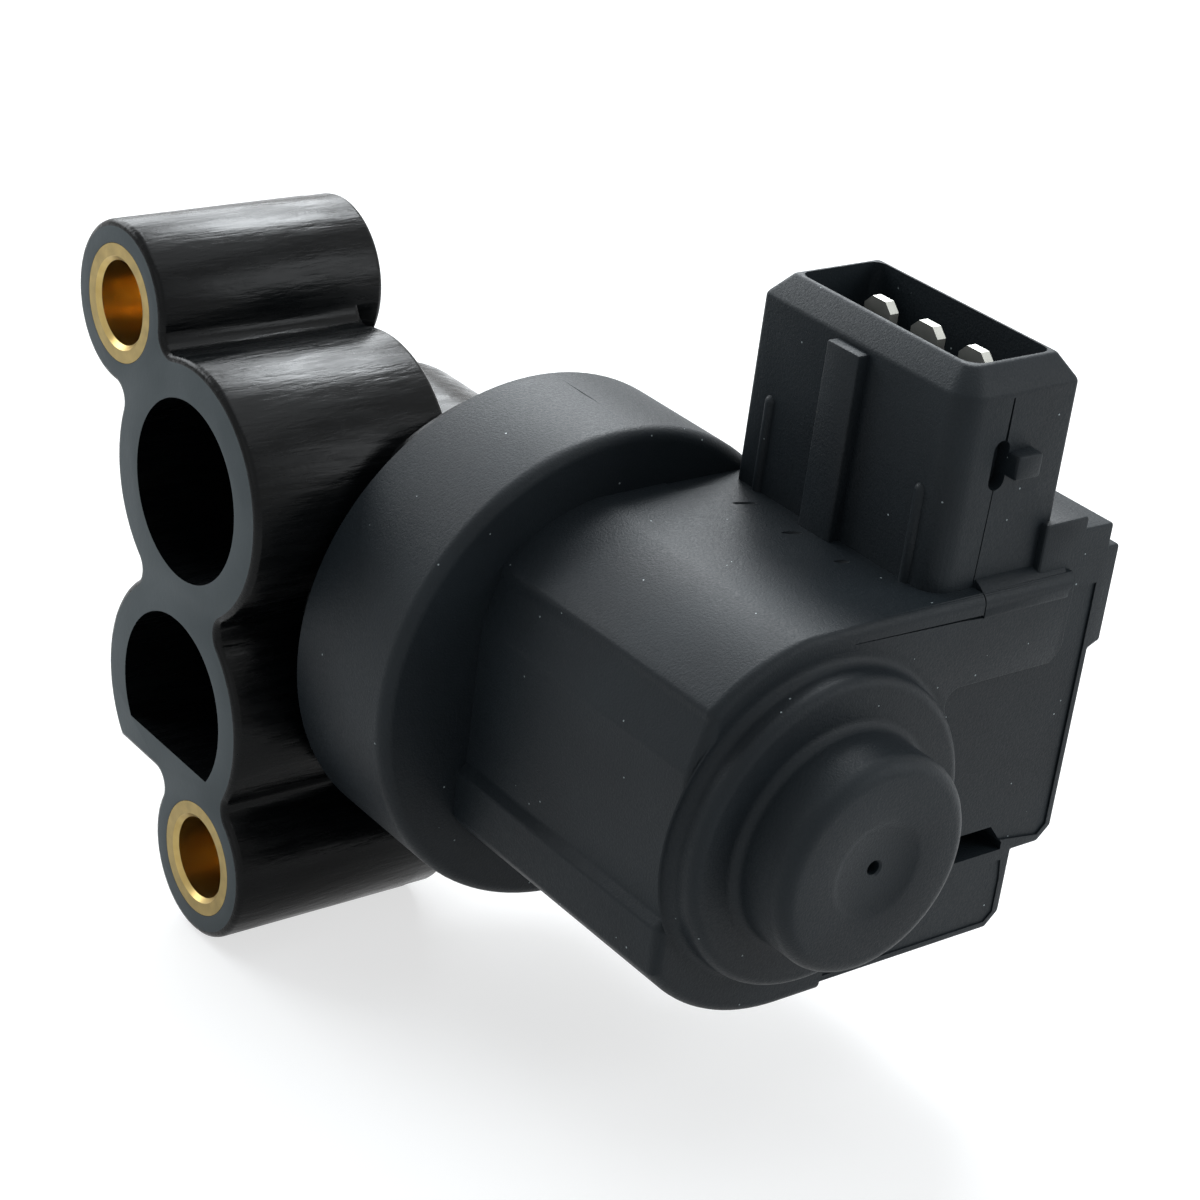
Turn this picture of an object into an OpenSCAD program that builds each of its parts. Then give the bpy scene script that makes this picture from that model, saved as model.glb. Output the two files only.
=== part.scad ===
// Idle air control valve with a rotary slide, driven by a small two-coil motor.
// Origin: midway between the two bolt holes, on the flange face. +X goes into the
// part, away from the flange face. The motor's nose points to -Y and its plug to +Z.

/* [Flange and air ports] */
// Distance between the two bolt holes across the flange, along Y
bolt_spread_y = 16.3; // [14.5:0.1:18]
// Distance between the two bolt holes along the row of ports, along Z
bolt_spread_z = 39.8; // [38.5:0.1:43]
// Radius of each bolt boss
boss_r = 6.36; // [6:0.05:7]
// Depth of the bolt bosses behind the flange face
boss_depth = 19.7; // [19:0.1:20.6]
// How far the port tubes stop short of the bosses' back ends
tube_setback = 2.2; // [1.8:0.1:2.6]
// Place of the two air ports' centres along Y
port_y = -2.9; // [-3.6:0.1:-2.2]
// Height of the upper air port's centre
upper_port_z = 9.05; // [8.9:0.05:9.8]
// Height of the lower air port's centre, below the origin
lower_port_drop = 8.7; // [8.5:0.05:9.4]
// Radius of each air port's bore
port_r = 7.08; // [6.2:0.02:7.2]
// Wall of the upper port's tube
upper_wall = 3.15; // [2.4:0.05:3.4]
// Wall of the lower port's tube
lower_wall = 2.7; // [2.3:0.05:3]
// Wall under the lower port's flat
flat_wall = 2.55; // [2:0.05:3]
// Distance from the lower port's centre down to the flat that makes it D-shaped
port_flat_drop = 4.15; // [3.4:0.05:5.5]
// Radius of the hollow fillets between the bosses and the tubes
waist_fillet_r = 1.3; // [0.8:0.1:2]

/* [Bolt bushes] */
// Radius of the hole for the bolt in each brass bush
bush_bore_r = 3.25; // [3:0.05:3.5]
// Wall of each bush
bush_wall = 1.32; // [0.9:0.02:1.6]
// Chamfer at each mouth of a bush
bush_chamfer = 0.35; // [0.1:0.05:0.6]

/* [Valve chamber] */
// Distance from the flange face to the motor axis
axis_x = 23.24; // [22.6:0.02:24]
// Radius of the chamber that the rotary slide turns in
chamber_r = 11; // [10.4:0.1:11.4]
// Wall of the chamber barrel
chamber_wall = 1.4; // [1:0.1:1.8]
// Distance from the joint face to the chamber's closed end
chamber_len = 18.2; // [17.6:0.1:19]
// Thickness of the chamber's closed end
chamber_end_t = 2.4; // [1.6:0.1:3.2]
// Distance from the ports' plane of centres to the joint face with the motor
joint_drop = 10.76; // [10.6:0.02:11.6]
// Thickness of the joint flange round the chamber's mouth
joint_flange_t = 2.2; // [1.6:0.1:2.8]
// How much smaller the joint flange is than the collar
joint_flange_inset = 1.6; // [0.8:0.1:2.4]

/* [Collar and motor body] */
// Radius of the round collar
collar_r = 19.42; // [18.8:0.02:20.2]
// Thickness of the collar along the motor axis
collar_t = 11.7; // [11:0.05:12.6]
// Rounding of the collar's front rim
collar_round = 1.4; // [0.6:0.1:1.8]
// Radius of the round motor body
body_r = 14.8; // [14.5:0.05:15.2]
// Length of the motor body in front of the collar
body_len = 24.3; // [23.8:0.1:25]
// Rounding where the body's side turns into its end
body_round = 1.2; // [0.6:0.1:1.6]
// Height of the body's flat top above the motor axis
body_top = 14.7; // [14.3:0.05:15.2]
// Distance from the motor axis down to the body's underside, round on the left and flat under
// the box
body_bottom = 15.5; // [15:0.05:16]
// Distance from the motor axis out to the body's flat left side
body_side = 11.5; // [11.3:0.05:12]
// Width of the facet between the body's round top and its left side
facet_w = 1.2; // [0.8:0.05:1.6]
// Distance from the motor axis down to the raised band along the left side's foot
band_drop = 5.2; // [4:0.1:6]
// How far that band stands out
band_t = 0.7; // [0.4:0.05:1]
// Radius of the first nose ring
ring_r = 12.1; // [11.6:0.05:12.8]
// Height of the first nose ring above the body's end
ring_h = 2.4; // [1.8:0.1:3]
// Radius of the nose dome
dome_r = 8.4; // [7.8:0.05:9]
// Height of the nose dome above the first ring
dome_h = 5; // [4.4:0.1:5.8]
// Radius of the shallow dish in the dome's end
dish_r = 4; // [3:0.1:5]
// Depth of that dish
dish_depth = 0.35; // [0.1:0.05:0.6]
// Radius of the small vent hole in the dish
vent_r = 0.55; // [0.3:0.05:0.8]

/* [Side box] */
// Distance from the motor axis out to the side box's right wall
box_reach = 26.7; // [26:0.1:27.6]
// Height of the side box's top above the motor axis, beside the plug
box_top = 17.7; // [16.8:0.1:18.4]
// Distance from the motor axis out to the place where that high part begins
box_step_reach = 19.6; // [19:0.1:20.4]
// Height of the step on the side box's top
box_step_h = 1; // [0.6:0.1:1.4]
// Width of that step
box_step_w = 4.3; // [3.6:0.1:5]
// Height of the rib's upper end on the box's right wall
rib_top = 15.8; // [14.6:0.1:16.6]
// How far that rib stands out
rib_t = 1.1; // [0.6:0.1:1.4]
// Distance from the motor axis down to the side box's underside
box_bottom = 8.9; // [8.2:0.1:9.6]
// How far the box's front face lies behind the body's end face
box_setback = 0.8; // [0.5:0.05:1.1]
// Distance from the motor axis out to the right edge of the raised front plate
plate_reach = 22.8; // [22.4:0.1:24.2]
// Height of the raised front plate's lower edge above the motor axis
plate_bottom = 7.6; // [7:0.1:8.4]
// Radius of the round end face, which stands out in front of the box as the plate does
end_face_r = 13.2; // [13.1:0.05:13.6]
// Distance from the motor axis out to the left end of the lip in front of the plug
lip_start = 13.9; // [13.4:0.1:15]
// Height of that lip's top above the motor axis
lip_top = 15.4; // [15:0.1:15.8]
// Rounding of that lip's front edge
lip_round = 2.2; // [1.6:0.1:2.4]
// Distance from the motor axis out to the right edge of the lower flap
flap_reach = 22.8; // [22:0.1:23.6]
// Height of the recess between the box and the lower flap
recess_h = 2.4; // [1.6:0.1:2.8]
// Depth of that recess
recess_depth = 4; // [2:0.1:5]
// Distance from the motor axis out to the right end of that recess
recess_reach = 20.4; // [19.6:0.1:21]
// Distance from the collar's front face to the box's back wall
box_back_gap = 1.5; // [1:0.1:2.5]

/* [Plug socket] */
// Distance from the flange face to the socket's left wall, on the outside
socket_x = 33; // [32.6:0.1:33.4]
// Width of the socket along X
socket_w = 11; // [10.4:0.1:11.6]
// Length of the socket along Y
socket_len = 21.6; // [20.8:0.1:22.4]
// How far the socket's front wall lies behind the body's end face
socket_setback = 1.5; // [1.2:0.1:2]
// Height of the socket's outer edge above the motor axis
socket_top = 29.5; // [28:0.1:31]
// Height of the sloping rim above that edge
rim_h = 1.8; // [1.2:0.1:2.4]
// Thickness of the socket's long walls at the rim
socket_wall = 1.65; // [1.3:0.05:1.9]
// Depth of the socket
socket_depth = 12.5; // [11:0.1:14]
// Chamfer at the upright corner that is nearest the nose and the flange
socket_corner = 2; // [1.2:0.1:2.4]
// Chamfer at the other upright corners
socket_edge = 0.5; // [0.3:0.05:0.8]
// Width of the key rib on the left wall
key_w = 3.4; // [2.4:0.1:4]
// How far the key rib stands out
key_t = 1; // [0.6:0.1:1.4]
// Distance from the middle blade to the key rib's middle, towards the collar
key_offset = 1.6; // [1:0.1:2.4]
// Height of the rim above the plug clip's two bosses
latch_drop = 6.3; // [5.8:0.1:7.4]
// Width of those bosses
latch_w = 2.4; // [2:0.1:2.8]
// Height of those bosses
latch_h = 1.9; // [1.4:0.1:2.4]
// How far those bosses stand out
latch_t = 1.1; // [0.8:0.1:1.4]
// Width of the round-ended pocket beside the front boss
pocket_w = 1.5; // [1:0.1:1.6]
// Height of that pocket
pocket_h = 3.8; // [3:0.1:4.4]
// Depth of that pocket in the front wall
pocket_depth = 1.1; // [0.6:0.1:1.2]
// Height of the rim's foot above the tops of the two low ribs
low_rib_drop = 7.2; // [6:0.1:9]
// How far those ribs stand out
low_rib_t = 0.35; // [0.2:0.05:0.6]
// Distance from the socket's two ends to the low ribs' middles
low_rib_inset = 2.8; // [2.4:0.1:3.6]

/* [Plug blades] */
// Distance between neighbouring blades
blade_pitch = 5; // [4.8:0.05:5.3]
// Width of each blade
blade_w = 2.8; // [2.2:0.1:3]
// Thickness of each blade
blade_t = 0.8; // [0.5:0.05:1]
// Distance from the socket's middle to the middle blade, towards the nose
blade_offset = 0.8; // [0.4:0.1:1.2]
// How far the blades' tips lie below the rim
blade_recess = 0.6; // [0.3:0.1:3]

/* [Shaft and its bearings] */
// Radius of the steel shaft
shaft_r = 2; // [1.8:0.05:2.2]
// Outer radius of the ball bearing
bearing_r = 5.5; // [5.3:0.05:5.8]
// Width of the ball bearing
bearing_w = 4; // [3.6:0.1:4.4]
// Number of balls in the bearing
ball_count = 8; // [6:1:8]
// Radius of each ball
ball_r = 0.8; // [0.65:0.01:0.85]
// Outer radius of the two plain bushes
plain_bush_r = 3.6; // [3.2:0.05:4]
// Length of the plain bush in the nose
nose_bush_len = 4; // [3:0.1:4.6]
// Length of the plain bush in the chamber's end
end_bush_len = 3; // [2:0.1:3.4]
// Outer radius of the spring clip on the shaft
clip_r = 3.5; // [3.1:0.05:3.8]
// Thickness of the spring clip
clip_t = 0.6; // [0.4:0.05:0.8]

/* [End plate and seal] */
// Thickness of the end plate inside the collar
end_plate_t = 4; // [3.8:0.1:4.6]
// Wall of the collar round the end plate
collar_wall = 2.35; // [2:0.05:2.6]
// Length of the end plate's spigot in the chamber
spigot_len = 3.4; // [3:0.1:3.6]
// Thickness of the sealing ring's cord
seal_cord = 1.6; // [1.2:0.05:1.9]
// Radius of each stop pin
stop_pin_r = 0.9; // [0.6:0.05:1.1]

/* [Rotor and stator] */
// Outer radius of the ring magnet
magnet_r = 5; // [4.6:0.05:5.15]
// How far the ring magnet stops short of the stator at each end
magnet_setback = 2.8; // [2.4:0.1:4]
// Radius of the rotor's hub under the magnet
hub_r = 3.2; // [2.8:0.05:3.6]
// Air gap between the magnet and the poles
air_gap = 0.4; // [0.3:0.05:0.5]
// Outer radius of the flux tube round the coils
flux_tube_r = 10.2; // [10.05:0.05:10.4]
// Wall of the flux tube
flux_tube_wall = 0.8; // [0.6:0.05:0.95]
// Thickness of each pole plate
pole_plate_t = 1.2; // [0.9:0.05:1.4]
// How far the pole fingers stop short of a coil's far end
finger_setback = 3; // [2:0.1:4.5]
// Thickness of the wall between the stator and the body's end
nose_wall = 3.2; // [3:0.1:3.8]
// Gap between the stator and the end plate
stack_gap = 3.2; // [2.8:0.1:4]
// Thickness of a former's flanges
former_flange_t = 0.8; // [0.6:0.05:1.1]
// Radial thickness of each winding
winding_t = 2.3; // [1.8:0.05:2.4]

/* [Rotary slide] */
// Width of the slide's shoe, as an angle in degrees
shoe_angle = 62; // [56:1:66]
// Thickness of the slide's shoe
shoe_t = 1.5; // [1.2:0.05:2]
// Radius of the slide's hub
slide_hub_r = 4.2; // [3.6:0.05:4.8]
// Thickness of the slide's web
web_t = 2.2; // [1.6:0.1:2.8]
// Distance from the shoe's front end back to the web
web_setback = 3.5; // [2.6:0.1:4.5]
// How far the slide opens from its rest place, in degrees
open_swing = 42; // [36:1:44]
// How far the slide closes from its rest place, in degrees
close_swing = 18; // [12:1:20]

/* [Fits] */
// Clearance round pieces that are pressed or moulded into another
seat_gap = 0.03; // [0.02:0.01:0.06]
// Running clearance round the shaft
running_gap = 0.04; // [0.02:0.01:0.08]
// Clearance between the slide's shoe and the chamber
slide_gap = 0.3; // [0.25:0.05:0.5]

/* [Hidden] */
fine = 96;
eps = 0.01;
tube_depth = boss_depth - tube_setback;

// Places along the motor axis, from the joint face towards the nose (-Y)
joint_y = port_y - joint_drop;
collar_front_y = joint_y - collar_t;
body_end_y = collar_front_y - body_len;
ring_top_y = body_end_y - ring_h;
nose_tip_y = ring_top_y - dome_h;
chamber_end_y = joint_y + chamber_len;
chamber_back_y = chamber_end_y + chamber_end_t;
spigot_y = joint_y + spigot_len;

// The body's section, measured from the motor axis
facet_top_z = 9.8;
facet_foot_z = 6.2;
body_section_reach = 4;
end_fillet_r = 1.2;

// Centres in the flange, as [y, z]
upper_bolt = [bolt_spread_y / 2, bolt_spread_z / 2];
lower_bolt = -upper_bolt;
upper_port = [port_y, upper_port_z];
lower_port = [port_y, -lower_port_drop];
upper_tube_r = port_r + upper_wall;
lower_tube_r = port_r + lower_wall;
flat_z = -lower_port_drop - port_flat_drop - flat_wall;
bush_r = bush_bore_r + bush_wall;

// The motor's inside: end plate, cavity and stack of stator pieces
end_plate_r = collar_r - collar_wall - seat_gap;
end_plate_y = joint_y - end_plate_t;
cavity_r = flux_tube_r + seat_gap;
stack_nose_y = body_end_y + nose_wall;
stack_collar_y = end_plate_y - stack_gap;
stack_len = stack_collar_y - stack_nose_y;
former_len = (stack_len - 3 * pole_plate_t) / 2;
finger_len = former_len - finger_setback;
magnet_len = stack_len - 2 * magnet_setback;
pole_inner_r = magnet_r + air_gap;
finger_t = 0.6;
former_gap = 0.1;
former_bore_r = pole_inner_r + finger_t + former_gap;
former_core_t = 0.6;
former_r = flux_tube_r - flux_tube_wall - former_gap;
winding_in_r = former_bore_r + former_core_t + seat_gap;
winding_r = winding_in_r + winding_t;
winding_len = former_len - 2 * former_flange_t - 2 * seat_gap;
finger_count = 4;
finger_angle = 30;
collar_former_y = stack_collar_y - pole_plate_t;
middle_plate_y = collar_former_y - former_len;
nose_former_y = middle_plate_y - pole_plate_t;
nose_plate_y = nose_former_y - former_len;

// The bearing sits on a shoulder in the end plate, with its outer face flush with the plate
bearing_front_y = end_plate_y;
bearing_back_y = bearing_front_y + bearing_w;
ball_pitch_r = (bearing_r + shaft_r) / 2 + 0.2;
race_gap = 0.05;
race_land = 0.45;
inner_race_r = ball_pitch_r - race_land;
outer_race_in_r = ball_pitch_r + race_land;
shoulder_hole_r = inner_race_r + 0.2;

// The shaft runs from the chamber's end bush to the nose bush
end_bush_y = chamber_end_y + end_bush_len;
bush_seat_wall = 1.6;
shaft_back_y = end_bush_y - 1.2;
nose_bush_y = stack_nose_y;
shaft_nose_y = nose_bush_y - nose_bush_len - 0.4;
shaft_tip_chamfer = 0.3;
hub_nose_y = nose_bush_y + 1;
magnet_mid_y = (stack_collar_y + stack_nose_y) / 2;
hub_collar_y = bearing_front_y - clip_t - 0.5;

// The rotary slide
shoe_r = chamber_r - slide_gap;
shoe_rest_angle = 215;
shoe_front_y = spigot_y + slide_gap;
shoe_back_y = chamber_end_y - slide_gap;
shoe_len = shoe_back_y - shoe_front_y;
stop_pin_pitch_r = 7.4;
stop_pin_margin = asin((stop_pin_r + 0.15) / stop_pin_pitch_r);
stop_pin_len = 4;

// The nose's fillets, edges and root
nose_fillet_r = 0.8;
ring_edge_r = 0.9;
dome_edge_r = 1.3;
dish_slope = 0.8;
vent_depth = 1;
nose_root = 2;

// The side box's corners and rib
box_corner = 1.2;
plate_corner = 1;
flap_corner = 1.2;
recess_wall = 1;
recess_foot = 0.4;
lip_end_gap = 0.5;
rib_foot = 7.6;

// The plug socket and its blades
socket_front_y = body_end_y + socket_setback;
socket_back_y = socket_front_y + socket_len;
socket_mid_y = (socket_front_y + socket_back_y) / 2;
blade_x = socket_x + socket_w / 2;
rim_z = socket_top + rim_h;
floor_z = rim_z - socket_depth;
rim_land = 0.3;
key_drop = 0.4;
latch_root = 0.4;
latch_offset = 0.4;
pocket_x = blade_x - latch_offset - pocket_w / 2;
pocket_mid_z = rim_z - latch_drop - latch_h / 2;
low_rib_w = 1;
blade_mid_y = socket_mid_y - blade_offset;
blade_tip_z = rim_z - blade_recess;
foot_h = 1.2;
leg_w = 1.6;
foot_gap = 0.15;
foot_window_gap = 0.6;
foot_inset = 1.6;
foot_x = axis_x + sqrt(pow(winding_r + foot_gap, 2) - pow(foot_h / 2, 2));
foot_window_h = foot_h + 2 * foot_window_gap;
collar_foot_y = collar_former_y - former_len / 2;
middle_foot_y = nose_former_y - former_flange_t - foot_inset;
nose_foot_y = nose_plate_y + former_flange_t + foot_inset;

// A solid that turns about the motor axis: the points are [radius, distance towards the nose]
module turned(points, start_y) {
    translate([axis_x, start_y, 0])
        rotate([90, 0, 0])
            rotate_extrude($fn = fine) polygon(points);
}

// A tube round the motor axis, from start_y for a length towards the nose
module tube(outer_r, inner_r, start_y, length) {
    translate([axis_x, start_y, 0])
        rotate([90, 0, 0])
            difference() {
                cylinder(r = outer_r, h = length, $fn = fine);
                translate([0, 0, -eps])
                    cylinder(r = inner_r, h = length + 2 * eps, $fn = fine);
            }
}

// A rod round the motor axis, from start_y for a length towards the nose
module rod(radius, start_y, length) {
    translate([axis_x, start_y, 0])
        rotate([90, 0, 0])
            cylinder(r = radius, h = length, $fn = fine);
}

// A flat outline, drawn as [y, z], made solid along +X
module along_x(start_x, length) {
    translate([start_x, 0, 0])
        rotate([90, 0, 90])
            linear_extrude(length) children();
}

// A flat outline, drawn as [x, z], made solid from start_y towards the nose
module along_nose(start_y, length) {
    translate([0, start_y, 0])
        rotate([90, 0, 0])
            linear_extrude(length) children();
}

// A wedge of a full turn, between two angles about the motor axis
module wedge(from_angle, to_angle, reach) {
    mid = (from_angle + to_angle) / 2;
    polygon([
        [0, 0],
        [reach * cos(from_angle), reach * sin(from_angle)],
        [1.3 * reach * cos(mid), 1.3 * reach * sin(mid)],
        [reach * cos(to_angle), reach * sin(to_angle)]
    ]);
}

// The hollow fillet that joins two round outlines, on one side of the line between them
module waist(centre_a, radius_a, centre_b, radius_b, side) {
    a = radius_a + waist_fillet_r;
    b = radius_b + waist_fillet_r;
    span = norm(centre_b - centre_a);
    along = (span * span + a * a - b * b) / (2 * span);
    off = sqrt(max(0, a * a - along * along));
    u = (centre_b - centre_a) / span;
    n = [-u[1], u[0]] * side;
    difference() {
        polygon([centre_a, centre_a + along * u + off * n, centre_b]);
        translate(centre_a + along * u + off * n) circle(r = waist_fillet_r, $fn = 48);
    }
}

// Outline of the lower port's tube, cut off flat at its lower side
module lower_tube_outline() {
    intersection() {
        translate(lower_port) circle(r = lower_tube_r, $fn = fine);
        translate([port_y - lower_tube_r, flat_z])
            square([2 * lower_tube_r, lower_tube_r - lower_port_drop - flat_z]);
    }
}

// The hollow fillet between the lower tube's flat and the lower boss
module flat_waist() {
    f = waist_fillet_r;
    drop = flat_z - f - lower_bolt[1];
    centre = [lower_bolt[0] + sqrt(pow(boss_r + f, 2) - drop * drop), flat_z - f];
    difference() {
        polygon([lower_bolt, centre, centre + [0, f + 0.5], [lower_bolt[0], flat_z + 0.5]]);
        translate(centre) circle(r = f, $fn = 48);
    }
}

// Outline of the flange: two bosses and two port tubes, drawn together
module flange_outline() {
    for (centre = [upper_bolt, lower_bolt])
        translate(centre) circle(r = boss_r, $fn = fine);
    translate(upper_port) circle(r = upper_tube_r, $fn = fine);
    lower_tube_outline();
    for (side = [-1, 1]) {
        waist(upper_bolt, boss_r, upper_port, upper_tube_r, side);
        waist(upper_port, upper_tube_r, lower_port, lower_tube_r, side);
    }
    waist(lower_port, lower_tube_r, lower_bolt, boss_r, -1);
    flat_waist();
}

// Bore of the lower port, cut off flat at its lower side
module d_bore_outline() {
    intersection() {
        translate(lower_port) circle(r = port_r, $fn = fine);
        translate([port_y - port_r, -lower_port_drop - port_flat_drop])
            square([2 * port_r, port_r + port_flat_drop]);
    }
}

// Glossy moulded valve housing: flange, bolt bosses, port tubes and slide chamber in one piece
module valve_housing() {
    bore_len = tube_depth - chamber_wall;
    color("#25292d") difference() {
        union() {
            along_x(0, tube_depth) flange_outline();
            for (centre = [upper_bolt, lower_bolt])
                along_x(0, boss_depth)
                    translate(centre) circle(r = boss_r, $fn = fine);
            rod(chamber_r + chamber_wall, chamber_back_y, chamber_len + chamber_end_t);
            rod(collar_r - joint_flange_inset, joint_y + joint_flange_t, joint_flange_t);
            rod(plain_bush_r + bush_seat_wall, end_bush_y + bush_seat_wall,
                end_bush_len + bush_seat_wall);
        }
        along_x(-eps, bore_len) translate(upper_port) circle(r = port_r, $fn = fine);
        along_x(-eps, bore_len) d_bore_outline();
        rod(chamber_r, chamber_end_y, chamber_len + 1);
        rod(plain_bush_r + seat_gap, end_bush_y, end_bush_len + 1);
        for (centre = [upper_bolt, lower_bolt])
            along_x(-eps, boss_depth + 1)
                translate(centre) circle(r = bush_r + seat_gap, $fn = fine);
    }
}

// Turned brass bush that takes the bolt's load off the plastic
module bolt_bush(centre) {
    color("#b08d4c")
        translate([0, centre[0], centre[1]])
            rotate([90, 0, 90])
                rotate_extrude($fn = fine)
                    polygon([
                        [bush_bore_r + bush_chamfer, 0],
                        [bush_r, 0],
                        [bush_r, boss_depth],
                        [bush_bore_r + bush_chamfer, boss_depth],
                        [bush_bore_r, boss_depth - bush_chamfer],
                        [bush_bore_r, bush_chamfer]
                    ]);
}

// Section of the motor body, as [x, z], drawn in by a margin
module body_section(margin) {
    side = -body_side + margin;
    foot = -body_bottom + margin;
    lid = body_top - margin;
    translate([axis_x, 0]) {
        intersection() {
            union() {
                difference() {
                    circle(r = body_r - margin, $fn = fine);
                    translate([-body_r, -2 * body_r]) square(2 * body_r);
                }
                difference() {
                    circle(r = body_bottom - margin, $fn = fine);
                    translate([-body_bottom, 0]) square(2 * body_bottom);
                }
            }
            polygon([
                [side + facet_w, lid],
                [side + facet_w, facet_top_z],
                [side, facet_foot_z],
                [side, -band_drop],
                [side - band_t, -band_drop - band_t],
                [side - band_t, foot],
                [body_section_reach, foot],
                [body_section_reach, lid]
            ]);
        }
        translate([0, foot]) square([body_section_reach, lid - foot]);
    }
}

// Solid motor body with its end edge chamfered
module body_block() {
    along_nose(collar_front_y + eps, body_len - body_round + eps) body_section(0);
    hull() {
        along_nose(body_end_y + body_round + eps, 2 * eps) body_section(0);
        along_nose(body_end_y + body_round * 0.3, 2 * eps) body_section(body_round * 0.3);
    }
    hull() {
        along_nose(body_end_y + body_round * 0.3 + eps, 2 * eps) body_section(body_round * 0.3);
        along_nose(body_end_y + eps, eps) body_section(body_round);
    }
}

// Outline of the raised round end face and plate, as [x, z] from the motor axis
module end_face_outline() {
    f = end_fillet_r;
    centre = [sqrt(pow(end_face_r + f, 2) - pow(plate_bottom - f, 2)), plate_bottom - f];
    difference() {
        circle(r = end_face_r, $fn = fine);
        translate([-2 * end_face_r, -end_face_r]) square(2 * end_face_r);
    }
    polygon([
        [0, plate_bottom],
        [plate_reach - plate_corner, plate_bottom],
        [plate_reach, plate_bottom + plate_corner],
        [plate_reach, body_top - body_round],
        [0, body_top - body_round]
    ]);
    difference() {
        polygon([[0, 0], centre, centre + [0, 2 * f], [0, plate_bottom + f]]);
        translate(centre) circle(r = f, $fn = 48);
    }
}

// The side box with the lower flap, the raised end face and the lip in front of the plug
module side_box() {
    front_y = body_end_y + box_setback;
    back_y = collar_front_y - box_back_gap;
    // Box and flap, with the high part, the step along its top and the rib on its right wall
    difference() {
        along_nose(back_y, back_y - front_y) translate([axis_x, 0]) {
            polygon([
                [0, -body_bottom],
                [flap_reach - flap_corner, -body_bottom],
                [flap_reach, -body_bottom + flap_corner],
                [flap_reach, -box_bottom],
                [box_reach - box_corner, -box_bottom],
                [box_reach, -box_bottom + box_corner],
                [box_reach, box_top],
                [box_step_reach, box_top],
                [box_step_reach, body_top],
                [0, body_top]
            ]);
            translate([box_step_reach, box_top - eps]) square([box_step_w, box_step_h + eps]);
            translate([box_reach - eps, rib_foot]) square([rib_t + eps, rib_top - rib_foot]);
        }
        // Recess over the lower flap
        along_nose(front_y + recess_depth, recess_depth + 1)
            translate([axis_x + cavity_r + recess_wall, recess_foot - box_bottom])
                square([recess_reach - cavity_r - recess_wall, recess_h]);
    }
    // Raised end face, with the body's rounded edge carried along the plate's top
    along_nose(front_y + eps, box_setback + eps) translate([axis_x, 0]) end_face_outline();
    along_x(axis_x, plate_reach)
        polygon([
            [body_end_y, body_top - body_round - 1],
            [body_end_y, body_top - body_round],
            [body_end_y + body_round * 0.3, body_top - body_round * 0.3],
            [body_end_y + body_round, body_top],
            [body_end_y + body_round + 1, body_top],
            [body_end_y + body_round + 1, body_top - body_round - 1]
        ]);
    // Lip in front of the plug
    along_x(axis_x + lip_start, plate_reach - lip_start - lip_end_gap)
        intersection() {
            translate([body_end_y, body_top - 3]) square([socket_setback + 1, lip_top - body_top + 3]);
            union() {
                translate([body_end_y + lip_round, lip_top - lip_round])
                    circle(r = lip_round, $fn = fine);
                translate([body_end_y, body_top - 3])
                    square([2 * lip_round, lip_top - lip_round - body_top + 3]);
                translate([body_end_y + lip_round, body_top - 3])
                    square([lip_round, lip_top - body_top + 3]);
            }
        }
}

// Outline of the plug socket, as [x, y], drawn in by a margin
module socket_outline(margin) {
    w = socket_w - 2 * margin;
    l = socket_len - 2 * margin;
    c = max(socket_edge, socket_corner - margin * 0.6);
    e = socket_edge;
    translate([socket_x + margin, socket_front_y + margin])
        polygon([[c, 0], [w - e, 0], [w, e], [w, l - e], [w - e, l], [e, l], [0, l - e], [0, c]]);
}

// Plug socket, standing on the motor body, with its key rib
module socket() {
    base_z = body_top - 3;
    translate([0, 0, base_z]) linear_extrude(socket_top - base_z) socket_outline(0);
    hull() {
        translate([0, 0, socket_top - eps]) linear_extrude(eps) socket_outline(0);
        translate([0, 0, rim_z - eps]) linear_extrude(eps) socket_outline(socket_wall - rim_land);
    }
    translate([socket_x - key_t, blade_mid_y - key_w / 2 + key_offset, base_z])
        cube([key_t + 1, key_w, socket_top - key_drop - base_z]);
    // Bosses that the plug's spring clip snaps behind, on the two short walls
    for (y = [socket_front_y - latch_t, socket_back_y - latch_root])
        translate([blade_x - latch_offset, y, rim_z - latch_drop - latch_h])
            cube([latch_w, latch_t + latch_root, latch_h]);
    // Two low ribs on the left wall
    for (y = [socket_front_y + low_rib_inset, socket_back_y - low_rib_inset])
        translate([socket_x - low_rib_t, y - low_rib_w / 2, base_z])
            cube([low_rib_t + 1, low_rib_w, socket_top - low_rib_drop - base_z]);
}

// Round-ended pocket in the socket's front wall, beside the clip's boss
module clip_pocket() {
    straight = pocket_h - pocket_w;
    along_nose(socket_front_y + pocket_depth, pocket_depth + eps)
        translate([pocket_x, pocket_mid_z]) {
            square([pocket_w, straight], center = true);
            for (side = [-1, 1])
                translate([0, side * straight / 2]) circle(d = pocket_w, $fn = 24);
        }
}

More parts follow.
